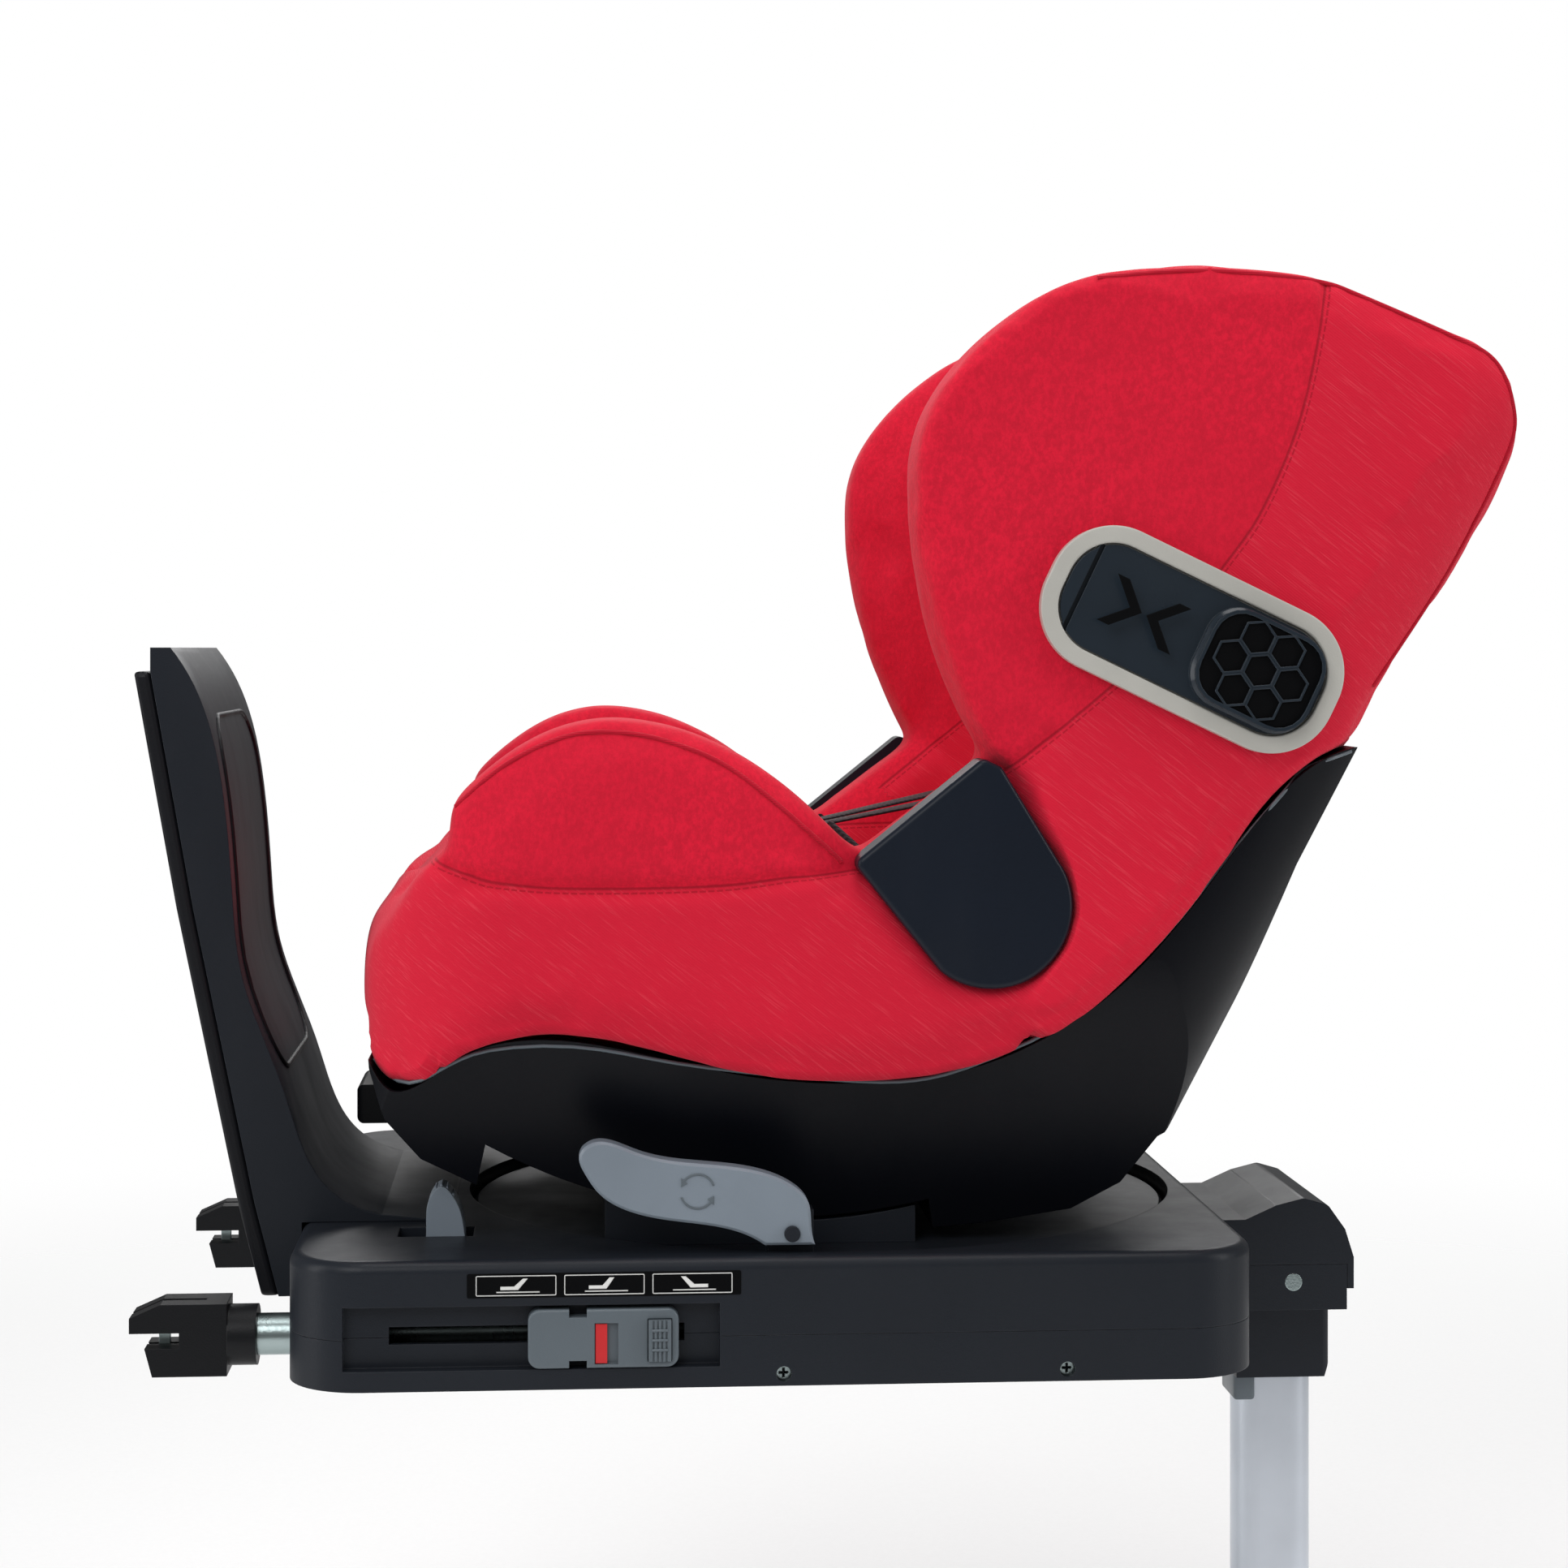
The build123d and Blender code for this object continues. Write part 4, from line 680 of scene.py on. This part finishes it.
WEAVE_OUTPUTS = {"Light": "Float", "Height": "Float"}
GRAIN_INPUTS, GRAIN_OUTPUTS = {"Scale": 900.0, "Roughness": 0.4}, {"Height": "Float", "Roughness": "Float"}
TWO_COLOURS = {"Colour": (0.5, 0.5, 0.5, 1), "Second": (0.5, 0.5, 0.5, 1), "Scale": 8.0}
# Each group's inputs with their first values, its outputs and what builds it.
NODE_GROUPS = {
    "velour_pile": ({}, WEAVE_OUTPUTS, build_pile),
    "slub_weave": ({"Strength": 0.6}, WEAVE_OUTPUTS, build_slub),
    "knit_loops": ({}, WEAVE_OUTPUTS, build_knit),
    "webbing_twill": ({}, WEAVE_OUTPUTS, build_webbing),
    "moulded_grain": (GRAIN_INPUTS, GRAIN_OUTPUTS, build_grain),
    "colour_drift": (TWO_COLOURS, {"Colour": "Color"}, build_drift),
    "edge_wear": ({"Width": 0.001}, {"Mask": "Float", "Normal": "Vector"}, build_wear),
}
# Each cloth's weave, colour setting and its factor, dark side, bump, roughness and sheen.
CLOTHS = {
    "velour": ("velour_pile", "velour", 1.0, 0.72, 0.7, 0.85, 0.35),
    "lining": ("knit_loops", "lining", 1.0, 0.86, 0.35, 0.85, 0.2),
    "webbing": ("webbing_twill", "webbing", 1.0, 0.55, 0.8, 0.7, 0.1),
    "piping": ("knit_loops", "velour", 0.8, 0.75, 0.4, 0.85, 0.15),
}


def material_of(name):
    """New material with only its Principled shader, or None if it is there already."""
    if name + "_finish" in bpy.data.materials:
        return None
    material = bpy.data.materials.new(name + "_finish")
    material.use_nodes = True
    return material


def paint(colour, factor=1.0, lift=0.0):
    return (*[min(1.0, c * factor + lift) for c in colour[:3]], 1)


def cloth_shader(material, colour, height, strength, roughness, sheen):
    tree = material.node_tree
    shader = tree.nodes["Principled BSDF"]
    bump = wire(tree, "Bump", {"Strength": strength, "Distance": 0.0006, "Height": height})
    tree.links.new(colour, shader.inputs["Base Color"])
    tree.links.new(bump, shader.inputs["Normal"])
    shader.inputs["Roughness"].default_value = roughness
    shader.inputs["Sheen Weight"].default_value = sheen
    shader.inputs["Sheen Roughness"].default_value = 0.45
    shader.inputs["Sheen Tint"].default_value = (1, 0.5, 0.55, 1)
    shader.inputs["Specular IOR Level"].default_value = 0.2
    return material


def cloth(name):
    """Cloth of one weave all over."""
    material = material_of(name)
    if material is None:
        return bpy.data.materials[name + "_finish"]
    tree = material.node_tree
    weave, setting, factor, dark, strength, roughness, sheen = CLOTHS[name]
    colour = [c * factor for c in getattr(bpy.context.scene.child_seat_fabric, setting)]
    yarn = use(tree, weave)
    broad = use(tree, "colour_drift", Colour=paint(colour), Second=paint(colour, 0.9), Scale=9.0)
    shade = mixed(tree, yarn["Light"], paint(colour, dark), broad["Colour"])
    return cloth_shader(material, shade, yarn["Height"], strength, roughness, sheen)


def two_zone():
    """Velour on one side of the seam, slub weave on the other, with a stitched line along the woven side and
    painted shade darkening the cloth at the seam itself.
    """
    material = material_of("cover_two_zone")
    if material is None:
        return bpy.data.materials["cover_two_zone_finish"]
    fabric = bpy.context.scene.child_seat_fabric
    tree = material.node_tree
    zone = wire(tree, "Attribute", out="Fac", attribute_name="zone")
    along = wire(tree, "Attribute", out="Fac", attribute_name="along")
    front = span(tree, zone, -0.0003, 0.0003)
    soft, flat = use(tree, "velour_pile"), use(tree, "slub_weave", Strength=0.5)
    lively, dull = paint(fabric.velour, 1.03), paint(fabric.velour, 0.92)
    velour_drift = use(tree, "colour_drift", Colour=lively, Second=dull, Scale=11.0)
    velour_colour = mixed(tree, soft["Light"], paint(fabric.velour, 0.78), velour_drift["Colour"])
    lively, dull = paint(fabric.woven), paint(fabric.woven, 0.93)
    woven_drift = use(tree, "colour_drift", Colour=lively, Second=dull, Scale=7.0)
    woven_colour = mixed(tree, flat["Light"], woven_drift["Colour"], paint(fabric.woven, 1.05, 0.035))
    colour = mixed(tree, front, woven_colour, velour_colour)
    # A run of stitches 2.4 mm from the seam: 3.2 mm stitches, 1.2 mm apart.
    row = sums(tree, "COMPARE", zone, -0.0024)
    row.node.inputs[2].default_value = 0.00045
    step = sums(tree, "FRACT", sums(tree, "DIVIDE", along, 0.0044))
    stitch = times(tree, row, sums(tree, "LESS_THAN", step, 0.72))
    # Painted shade: the cloth is darkened to a deep red within 1.2 mm of the seam, as if shadowed in the sewn
    # channel.
    gap = span(tree, wire(tree, "Math", {0: zone}, operation="ABSOLUTE"), 0.0012, 0.0002)
    colour = mixed(tree, times(tree, gap, 0.55), colour, paint(fabric.velour, 0.25))
    colour = mixed(tree, times(tree, stitch, 0.8), colour, paint(fabric.velour, 0.55))
    height = mixed_value(tree, front, times(tree, flat["Height"], 0.55), soft["Height"])
    height = plus(tree, height, times(tree, stitch, 0.6))
    return cloth_shader(material, colour, height, 0.6, 0.85, 0.13)


def moulded(name, colour, roughness, scale, depth, coat=0.0, metal=0.0, rub=0.5, shine=0.5):
    """Moulded plastic or bare metal: grain, slow colour drift and rubbed edges."""
    material = material_of(name)
    if material is None:
        return bpy.data.materials[name + "_finish"]
    tree = material.node_tree
    shader = tree.nodes["Principled BSDF"]
    skin = use(tree, "moulded_grain", Scale=scale, Roughness=roughness)
    rubbed = use(tree, "edge_wear", Width=bpy.context.scene.child_seat_plastic.edge)
    broad = use(tree, "colour_drift", Colour=paint(colour), Second=paint(colour, 0.86, 0.001), Scale=10.0)
    worn = times(tree, rubbed["Mask"], rub)
    shade = mixed(tree, worn, broad["Colour"], paint(colour, 1.7, 0.02))
    feeds = {"Strength": depth, "Distance": 0.0002, "Height": skin["Height"], "Normal": rubbed["Normal"]}
    bump = wire(tree, "Bump", feeds)
    tree.links.new(shade, shader.inputs["Base Color"])
    tree.links.new(skin["Roughness"], shader.inputs["Roughness"])
    tree.links.new(bump, shader.inputs["Normal"])
    shader.inputs["Metallic"].default_value = metal
    shader.inputs["Coat Weight"].default_value = coat
    shader.inputs["Coat Roughness"].default_value = 0.12
    shader.inputs["Specular IOR Level"].default_value = shine
    return material


def hard_finishes():
    """Material of each of the record's hard slots."""
    plastic = bpy.context.scene.child_seat_plastic
    # Colour, roughness, grain scale, grain depth and what differs from moulded's own values.
    table = {
        "base_plastic": (plastic.base, 0.40, 1300.0, 0.22, {"shine": 0.22}),
        "panel_black": ((0.007, 0.0075, 0.010), 0.45, 1000.0, 0.3, {"shine": 0.2}),
        "shell_plastic": (plastic.shell, 0.38, 1500.0, 0.14, {"shine": 0.14}),
        "black_plastic": ((0.006, 0.0065, 0.008), 0.42, 1100.0, 0.28, {"shine": 0.2}),
        "guard_plastic": (plastic.guard, 0.36, 1500.0, 0.15, {"shine": 0.2}),
        "trim_light": (plastic.trim, 0.38, 1400.0, 0.18, {"rub": 0.2}),
        "pod_gloss": ((0.016, 0.024, 0.034), 0.26, 1600.0, 0.08, {"coat": 0.15, "shine": 0.3}),
        "lever_grey": (plastic.lever, 0.42, 1200.0, 0.25, {"rub": 0.35}),
        "slider_grey": (plastic.slider, 0.36, 1300.0, 0.2, {"rub": 0.35}),
        "signal_red": ((0.62, 0.008, 0.012), 0.3, 1300.0, 0.12, {"coat": 0.3}),
        "steel": ((0.40, 0.48, 0.48), 0.30, 700.0, 0.2, {"metal": 1.0, "rub": 0.3}),
        "leg_aluminium": ((0.60, 0.64, 0.70), 0.34, 2200.0, 0.15, {"metal": 0.85, "rub": 0.2}),
    }
    return {name: moulded(name, *row[:4], **row[4]) for name, row in table.items()}


def white_print():
    return moulded("white_print", (0.80, 0.80, 0.78), 0.5, 1500.0, 0.1, rub=0.1)


# Near-black finish: the real colour of the guide plates, and painted shade on the pod's honeycomb floor and
# crossed slots.
def recess_black():
    return moulded("recess_black", (0.0012, 0.0014, 0.0020), 0.6, 1200.0, 0.2, rub=0.0, shine=0.08)


# ---- operators ----
class CHILDSEAT_OT_seat_cover(bpy.types.Operator):
    """Makes the sewn cover: head wings, thigh bolsters, side panels, front roll and back, with their seams"""

    bl_idname = "child_seat.seat_cover"
    bl_label = "Seat Cover"

    def execute(self, context):
        nodes = ["wing_cover_left", "wing_cover_right", "thigh_bolster_left", "thigh_bolster_right"]
        nodes += ["front_roll", "back_cover"]
        cover = cushion("seat_cover", nodes, "seat", two_zone(), travel=0.005, rounding=9, voxel=0.0055)
        wing, along = sew(cover, smooth_route(WING_SEAM), mask=outer_upper, width=0.0026)
        bolster, run = sew(cover, smooth_route(BOLSTER_SEAM), 0.0045, 0.0045, mask=outer_lower)
        tuck(cover, nodes, smooth_route(LOWER_EDGE), 0.008)
        rows = coordinates(cover.data)
        low = on_bolster(rows)
        write_attribute(cover.data, "zone", np.where(low, bolster, -wing))
        write_attribute(cover.data, "along", np.where(low, run, along))
        flatten(cover, WING_FACE + 0.0008)
        return {"FINISHED"}


class CHILDSEAT_OT_inner_cushions(bpy.types.Operator):
    """Makes the seat and back cushions with their sewn channels"""

    bl_idname = "child_seat.inner_cushions"
    bl_label = "Inner Cushions"

    def execute(self, context):
        seat = cushion("seat_cushion", ["seat_pad"], "seat", cloth("lining"))
        for across in (-0.105, 0.105):
            route = [Vector((along, across)) for along in (-0.30, 0.2)]
            sew(seat, route, 0.004, 0.005, mask=upward, plane=(0, 1))
        back = cushion("back_cushion", ["back_pad"], "seat", cloth("lining"))
        for up in (0.24, 0.33, 0.42):
            route = [(UP_BACK * up + OUT_BACK * out).xz for out in (0.12, -0.12)]
            sew(back, route, 0.004, 0.005, mask=forward)
        return {"FINISHED"}


class CHILDSEAT_OT_headrest(bpy.types.Operator):
    """Makes the headrest pad with its side ears"""

    bl_idname = "child_seat.headrest"
    bl_label = "Headrest"

    def execute(self, context):
        velour = cloth("velour")
        pad = cushion("headrest_cushion", ["headrest_pad"], "headrest", velour, 0.005)
        for across in (-0.083, 0.083):
            route = [Vector((across, height)) for height in (0.45, 0.62)]
            sew(pad, route, 0.0035, 0.004, mask=forward, plane=(1, 2))
        return {"FINISHED"}


class CHILDSEAT_OT_harness(bpy.types.Operator):
    """Makes the harness webbing and its shoulder pads"""

    bl_idname = "child_seat.harness"
    bl_label = "Harness"

    def execute(self, context):
        for name, node in (("shoulder_webbing", "shoulder_straps"), ("lap_webbing", "lap_straps")):
            bm = bmesh.new()
            bm.from_mesh(frame["nodes"][node].data)
            bmesh.ops.remove_doubles(bm, verts=bm.verts, dist=1e-5)
            bmesh.ops.dissolve_limit(bm, angle_limit=radians(2), verts=bm.verts, edges=bm.edges)
            folds = [e for e in bm.edges if len(e.link_faces) == 2]
            soften(bm, [e for e in folds if e.calc_face_angle(0) > radians(50)], 0.0006)
            strap = keep(name, from_bmesh(bm, name), "seat", [cloth("webbing")])
            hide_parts(node)
        pads = cushion("chest_pads", ["shoulder_pads"], "seat", cloth("velour"), travel=0.003, rounding=3,
                       voxel=0.003)
        return {"FINISHED"}


class CHILDSEAT_OT_piping(bpy.types.Operator):
    """Lays piping and edge seams on the covers, and a cord on the lower shell's edge whose lighter grey is a
    painted highlight
    """

    bl_idname = "child_seat.piping"
    bl_label = "Piping and Lips"

    def execute(self, context):
        radius = context.scene.child_seat_fabric.piping
        cover = tree_of(bpy.data.objects["seat_cover"])
        shell = tree_of(frame["nodes"]["under_shell"])
        # Painted highlight: the lower shell's edge cord takes the lighter slider grey instead of the shell's
        # near-black, standing for the rim's highlight.
        painted_lip_highlight = hard_finishes()["slider_grey"]
        rear = shifted(smooth_route(WING_TOP[1:] + WING_REAR), -0.008)
        front = shifted(smooth_route(BOLSTER_TOP), -0.006)
        # Name, surfaces, route, lift, share of the piping's radius, material and slot.
        cords = (
            ("wing_piping_", [cover], rear, 0.0002, 0.6, cloth("piping"), "cover_fabric"),
            ("bolster_piping_", [cover], front, 0.0002, 0.6, cloth("piping"), "cover_fabric"),
            ("shell_lip_", [shell, cover], smooth_route(LOWER_EDGE), 0.0, 0.5, painted_lip_highlight, "shell_plastic"),
        )
        for side, hand in SIDES:
            for name, surfaces, route, lift, share, material, slot in cords:
                line = steadied(on_side(surfaces, route, side, lift), 4)
                tube(name + hand, line, radius * share, "seat", material)
        return {"FINISHED"}


class CHILDSEAT_OT_impact_pods(bpy.types.Operator):
    """Makes the honeycomb pad and the crossed slots on each side impact flap; the honeycomb's floor, the
    slots and the floor under the hinge are dark plates of painted shade
    """

    bl_idname = "child_seat.impact_pods"
    bl_label = "Impact Pods"

    def execute(self, context):
        gloss = hard_finishes()["pod_gloss"]
        for side, hand in SIDES:
            flap = "sip_flap_" + hand
            outside = side_reach(flap)
            centre = side_place(POD_MIDDLE[0], side * outside, POD_MIDDLE[1], side, POD_DIP)
            pad = centre @ Matrix.Translation((POD_PAD_X, 0, 0))

            # Honeycomb of rings inside a rounded frame, on the flap's raised pad.
            bm = bmesh.new()
            for row, count in HONEYCOMB_ROWS:
                for column in range(count):
                    along = POD_PAD_X + (column - (count - 1) / 2) * HONEYCOMB_CELL
                    across = row * HONEYCOMB_CELL * sqrt(3) / 2
                    spot = centre @ Matrix.Translation((along, across, 0))
                    hexagon(bm, spot, HONEYCOMB_CELL / sqrt(3) + 0.0001, 0.0014, 0.0016)
            band(bm, pad, 0.0318, 0.0258, 0.0168, 0.0020, 0.0018)
            finished(bm, "pod_honeycomb_" + hand, flap, gloss)

            # Fixed end in front of the flap, and a thin dark plate of painted shade on the frame's floor in
            # the gap under the hinge.
            bm = bmesh.new()
            end = [(x, y) for x, y in rounded(0.0720, 0.0285, 0.024, 8) if x < POD_HINGE_X]
            end = [(POD_HINGE_X, -0.0250), *sorted(end, key=lambda q: q[1]), (POD_HINGE_X, 0.0250)]
            plate(bm, end, centre @ Matrix.Translation((0, 0, -0.0100)), 0.0030)
            floor = tree_of(frame["nodes"]["sip_frame_" + hand])
            hit = floor.ray_cast(centre @ Vector((-0.0640, 0, 0.01)), Vector((0, -side, 0)))[0]
            sunk = centre @ Matrix.Translation((0, 0, abs(hit.y) - outside))
            hinge_shade = [(-0.0650, -0.0245), (-0.0540, -0.0245), (-0.0540, 0.0245), (-0.0650, 0.0245)]
            plate(bm, hinge_shade, sunk, 0.0003)
            finished(bm, "pod_insert_" + hand, "seat", gloss)

            # Painted shade: near-black plates for the honeycomb's floor and the crossed slots, darker than
            # the gloss walls round them.
            bm = bmesh.new()
            plate(bm, rounded(0.0300, 0.0240, 0.0150), pad, 0.0004)
            cross(bm, centre @ Matrix.Translation((POD_CROSS_X, 0, 0)), 0.0004)
            finished(bm, "pod_recess_" + hand, flap, recess_black())
        return {"FINISHED"}


class CHILDSEAT_OT_marks(bpy.types.Operator):
    """Makes the turntable's pointers, the base's guide plates and the rotation levers' arrows"""

    bl_idname = "child_seat.marks"
    bl_label = "Pointers and Plates"

    def execute(self, context):
        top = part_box("turntable")[0].z + 0.010
        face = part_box("base_upper_shell")[1].y
        plate_x, plate_z = GUIDE_MIDDLE
        for side, hand in SIDES:
            bm = bmesh.new()
            angle = atan2(side * 0.134, -0.134)
            place = Matrix.Translation((-0.1335, side * 0.1335, top)) @ Matrix.Rotation(angle, 4, "Z")
            plate(bm, [(-0.009, -0.008), (0.009, 0.0), (-0.009, 0.008)], place, 0.0005)
            finished(bm, "pointer_" + hand, "turntable", white_print())

            bm = bmesh.new()
            plate(bm, rounded(0.0700, 0.0062, 0.001), side_place(plate_x, side * face, plate_z, side), 0.0003)
            finished(bm, "guide_plate_" + hand, "base", recess_black())
            bm = bmesh.new()
            for x, lean in GUIDE_SIGNS:
                spot = side_place(x, side * (face + 0.0003), plate_z, side)
                band(bm, spot, 0.0205, 0.0052, 0.0008, 0.0005, 0.0002)
                seat_glyph(bm, spot, lean)
            finished(bm, "guide_marks_" + hand, "base", white_print())

            lever = "rotate_lever_" + hand
            place = side_place(-0.079, side * (side_reach(lever) - 0.0002), 0.0985, side)
            bm = bmesh.new()
            for start in (0.35, 0.35 + pi):
                arrow_arc(bm, place, 0.0088, 0.0011, start, 0.0006)
            finished(bm, "turn_arrows_" + hand, lever, hard_finishes()["slider_grey"])
        return {"FINISHED"}


class CHILDSEAT_OT_rebound_trim(bpy.types.Operator):
    """Makes the raised line round the rebound panel's inner face and the ribs down its back"""

    bl_idname = "child_seat.rebound_trim"
    bl_label = "Rebound Trim"

    def execute(self, context):
        finishes = hard_finishes()
        front = tree_of(frame["nodes"]["rebound_front_cover"])
        middle_z, steps = 0.243, 8
        outline = rounded(0.084, 0.098, 0.030, 8)
        starts = [Vector((-0.10, across, middle_z + up)) for across, up in outline]
        loop = [front.ray_cast(start, Vector((-1, 0, 0)))[0] for start in starts]
        pairs = zip(loop, loop[1:] + loop[:1])
        loop = [here.lerp(there, k / steps) for here, there in pairs for k in range(steps)]
        loop = [front.find_nearest(spot)[0] for spot in loop]
        tube("rebound_bead", loop, 0.0016, "base", finishes["panel_black"], closed=True)
        back = tree_of(frame["nodes"]["rebound_back_shell"])
        pitch, foot, steps = 0.035, 0.095, 30
        for number, top in enumerate((0.320, 0.335, 0.335, 0.335, 0.320), 1):
            heights = [foot + k * (top - foot) / steps for k in range(steps + 1)]
            starts = [Vector((-0.6, (number - 3) * pitch, z)) for z in heights]
            line = [back.ray_cast(start, Vector((1, 0, 0)))[0] for start in starts]
            tube(f"rebound_rib_{number}", line, 0.0022, "base", finishes["base_plastic"])
        return {"FINISHED"}


class CHILDSEAT_OT_grips(bpy.types.Operator):
    """Makes the ridges on the lock lever and the side buttons, and the clip on the support leg"""

    bl_idname = "child_seat.grips"
    bl_label = "Grips and Leg Clip"

    def execute(self, context):
        plastic = hard_finishes()
        bm = bmesh.new()
        low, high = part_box("lock_lever")
        thumb = tree_of(frame["nodes"]["lock_lever"])
        middle, above = (low.y + high.y) / 2, high.z + 0.02
        for i in range(4):
            start = Vector((low.x + 0.006 + 0.0030 * i, middle, above))
            spot = thumb.ray_cast(start, Vector((0, 0, -1)))[0]
            ridge(bm, spot, Vector((0.0007, 0.0080, 0.0008)))
        finished(bm, "lever_ridges", "lock_lever", plastic["lever_grey"], smooth=True)
        for side, hand in SIDES:
            button = "isofix_button_" + hand
            low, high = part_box(button)
            bm = bmesh.new()
            for i in range(3):
                spot = Vector(((low.x + high.x) / 2, side * side_reach(button), low.z + 0.006 + i * 0.005))
                ridge(bm, spot, Vector((0.0042, 0.0007, 0.0007)))
            finished(bm, "button_ridges_" + hand, button, plastic["slider_grey"], smooth=True)
        bm = bmesh.new()
        outline = [(-0.0125, -0.017), (0.0, -0.017), (0.0, 0.017), (-0.0125, 0.017)]
        plate(bm, outline, Matrix.Translation((0.2555, 0, -0.062)), 0.030)
        soften(bm, bm.edges[:], 0.002, 3)
        finished(bm, "leg_clip", "leg", plastic["slider_grey"], smooth=True)
        return {"FINISHED"}


class CHILDSEAT_OT_hard_parts(bpy.types.Operator):
    """Gives each moulded and metal part its finish"""

    bl_idname = "child_seat.hard_parts"
    bl_label = "Hard Parts"

    def execute(self, context):
        finishes = hard_finishes()
        for name, width in SOFT_EDGES.items():
            holder = frame["nodes"][name]
            weld = holder.modifiers.new("Joined", "WELD")
            weld.merge_threshold = 0.00002
            bevel = holder.modifiers.new("Rounded", "BEVEL")
            bevel.width, bevel.segments, bevel.profile = width, 3, 0.5
            bevel.limit_method, bevel.angle_limit = "ANGLE", radians(50)
            bevel.harden_normals = False
        for part in frame["record"]["subparts"]:
            material = finishes.get(part["material_slot"])
            if material is None:
                continue
            holder = frame["nodes"][part["node"]]
            while len(holder.material_slots) < 1:
                holder.data.materials.append(material)
            for slot in holder.material_slots:
                slot.material = material
        return {"FINISHED"}


class CHILDSEAT_OT_stage(bpy.types.Operator):
    """Sets out the floor, the soft lights and the camera"""

    bl_idname = "child_seat.stage"
    bl_label = "Stage"

    def execute(self, context):
        scene = context.scene
        stage = scene.child_seat_stage
        floor_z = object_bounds()[0].z - stage.gap * MM
        bm = bmesh.new()
        bmesh.ops.create_grid(bm, x_segments=8, y_segments=8, size=6.0)
        bmesh.ops.translate(bm, verts=bm.verts, vec=(0, 0, floor_z))
        floor = bpy.data.objects.new("floor", from_bmesh(bm, "floor"))
        scene.collection.objects.link(floor)
        matt = material_of("floor_paper")
        tree = matt.node_tree
        shader = tree.nodes["Principled BSDF"]
        fleck = noise(tree, place_of(tree), 300.0, 3.0)
        tone = mixed(tree, fleck, (0.86, 0.86, 0.86, 1), (0.90, 0.90, 0.90, 1))
        tree.links.new(tone, shader.inputs["Base Color"])
        shader.inputs["Roughness"].default_value = 0.9
        away = wire(tree, "VectorMath", {0: place_of(tree)}, out="Value", operation="LENGTH")
        tree.links.new(span(tree, away, 2.6, 0.9), shader.inputs["Alpha"])
        floor.data.materials.append(matt)
        floor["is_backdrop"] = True

        world = bpy.data.worlds.new("studio")
        scene.world = world
        world.use_nodes = True
        tree = world.node_tree
        sky = tree.nodes["Background"]
        sky.inputs["Color"].default_value = (1, 1, 1, 1)
        direct = wire(tree, "LightPath", out="Is Camera Ray")
        gloss = wire(tree, "LightPath", out="Is Glossy Ray")
        others = mixed_value(tree, gloss, 0.42, 0.16)
        tree.links.new(mixed_value(tree, direct, others, 1.0), sky.inputs["Strength"])
        # Name, place, width, height and power.
        lights = [
            ("key", (-1.2, -2.4, 2.0), 1.6, 1.6, 30),
            ("top", (0.3, -0.1, 2.5), 2.2, 1.4, 34),
            ("left_strip", (-2.2, -0.5, 0.7), 0.4, 1.9, 14),
            ("right_strip", (2.2, -0.9, 0.8), 0.5, 1.9, 14),
            ("rim", (0.2, 2.3, 1.5), 1.8, 1.0, 20),
        ]
        for name, spot, wide, high, power in lights:
            lamp = bpy.data.lights.new(name, "AREA")
            lamp.shape = "RECTANGLE"
            lamp.size, lamp.size_y = wide, high
            lamp.energy = power * stage.light
            holder = bpy.data.objects.new(name, lamp)
            holder.location = spot
            aim = Vector((0, 0, 0.25)) - Vector(spot)
            holder.rotation_euler = aim.to_track_quat("-Z", "Y").to_euler()
            scene.collection.objects.link(holder)

        camera = bpy.data.cameras.new("camera")
        camera.lens, camera.sensor_width = stage.lens, 36
        camera.clip_start, camera.clip_end = 0.05, 50
        holder = bpy.data.objects.new("camera", camera)
        turn = radians(stage.azimuth)
        holder.location = (-0.020 + stage.distance * sin(turn), -stage.distance * cos(turn), stage.height)
        holder.rotation_euler = (radians(90), 0, turn)
        camera.shift_y = -0.0859
        scene.collection.objects.link(holder)
        scene.camera = holder
        scene.view_settings.view_transform = "Standard"
        return {"FINISHED"}


class CHILDSEAT_PT_panel(bpy.types.Panel):
    """Lists the pieces of the child seat and their settings"""

    bl_idname = "CHILDSEAT_PT_panel"
    bl_label = "Child Seat"
    bl_space_type = "VIEW_3D"
    bl_region_type = "UI"
    bl_category = "Child Seat"

    def draw(self, context):
        for settings in ("child_seat_fabric", "child_seat_plastic", "child_seat_stage"):
            box = self.layout.box()
            group = getattr(context.scene, settings)
            for name in group.__annotations__:
                box.prop(group, name)
        for operator in OPERATORS:
            self.layout.operator(operator.bl_idname)


GROUPS = (ChildSeatFabric, ChildSeatPlastic, ChildSeatStage)
OPERATORS = (
    CHILDSEAT_OT_seat_cover,
    CHILDSEAT_OT_inner_cushions,
    CHILDSEAT_OT_headrest,
    CHILDSEAT_OT_harness,
    CHILDSEAT_OT_piping,
    CHILDSEAT_OT_impact_pods,
    CHILDSEAT_OT_marks,
    CHILDSEAT_OT_rebound_trim,
    CHILDSEAT_OT_grips,
    CHILDSEAT_OT_hard_parts,
    CHILDSEAT_OT_stage,
)


def register():
    for cls in (*GROUPS, *OPERATORS, CHILDSEAT_PT_panel):
        bpy.utils.register_class(cls)
    bpy.types.Scene.child_seat_fabric = PointerProperty(type=ChildSeatFabric)
    bpy.types.Scene.child_seat_plastic = PointerProperty(type=ChildSeatPlastic)
    bpy.types.Scene.child_seat_stage = PointerProperty(type=ChildSeatStage)


def unregister():
    del bpy.types.Scene.child_seat_stage
    del bpy.types.Scene.child_seat_plastic
    del bpy.types.Scene.child_seat_fabric
    for cls in reversed((*GROUPS, *OPERATORS, CHILDSEAT_PT_panel)):
        bpy.utils.unregister_class(cls)


def main():
    register()
    for operator in OPERATORS:
        area, name = operator.bl_idname.split(".")
        getattr(getattr(bpy.ops, area), name)()


if __name__ == "__main__":
    main()
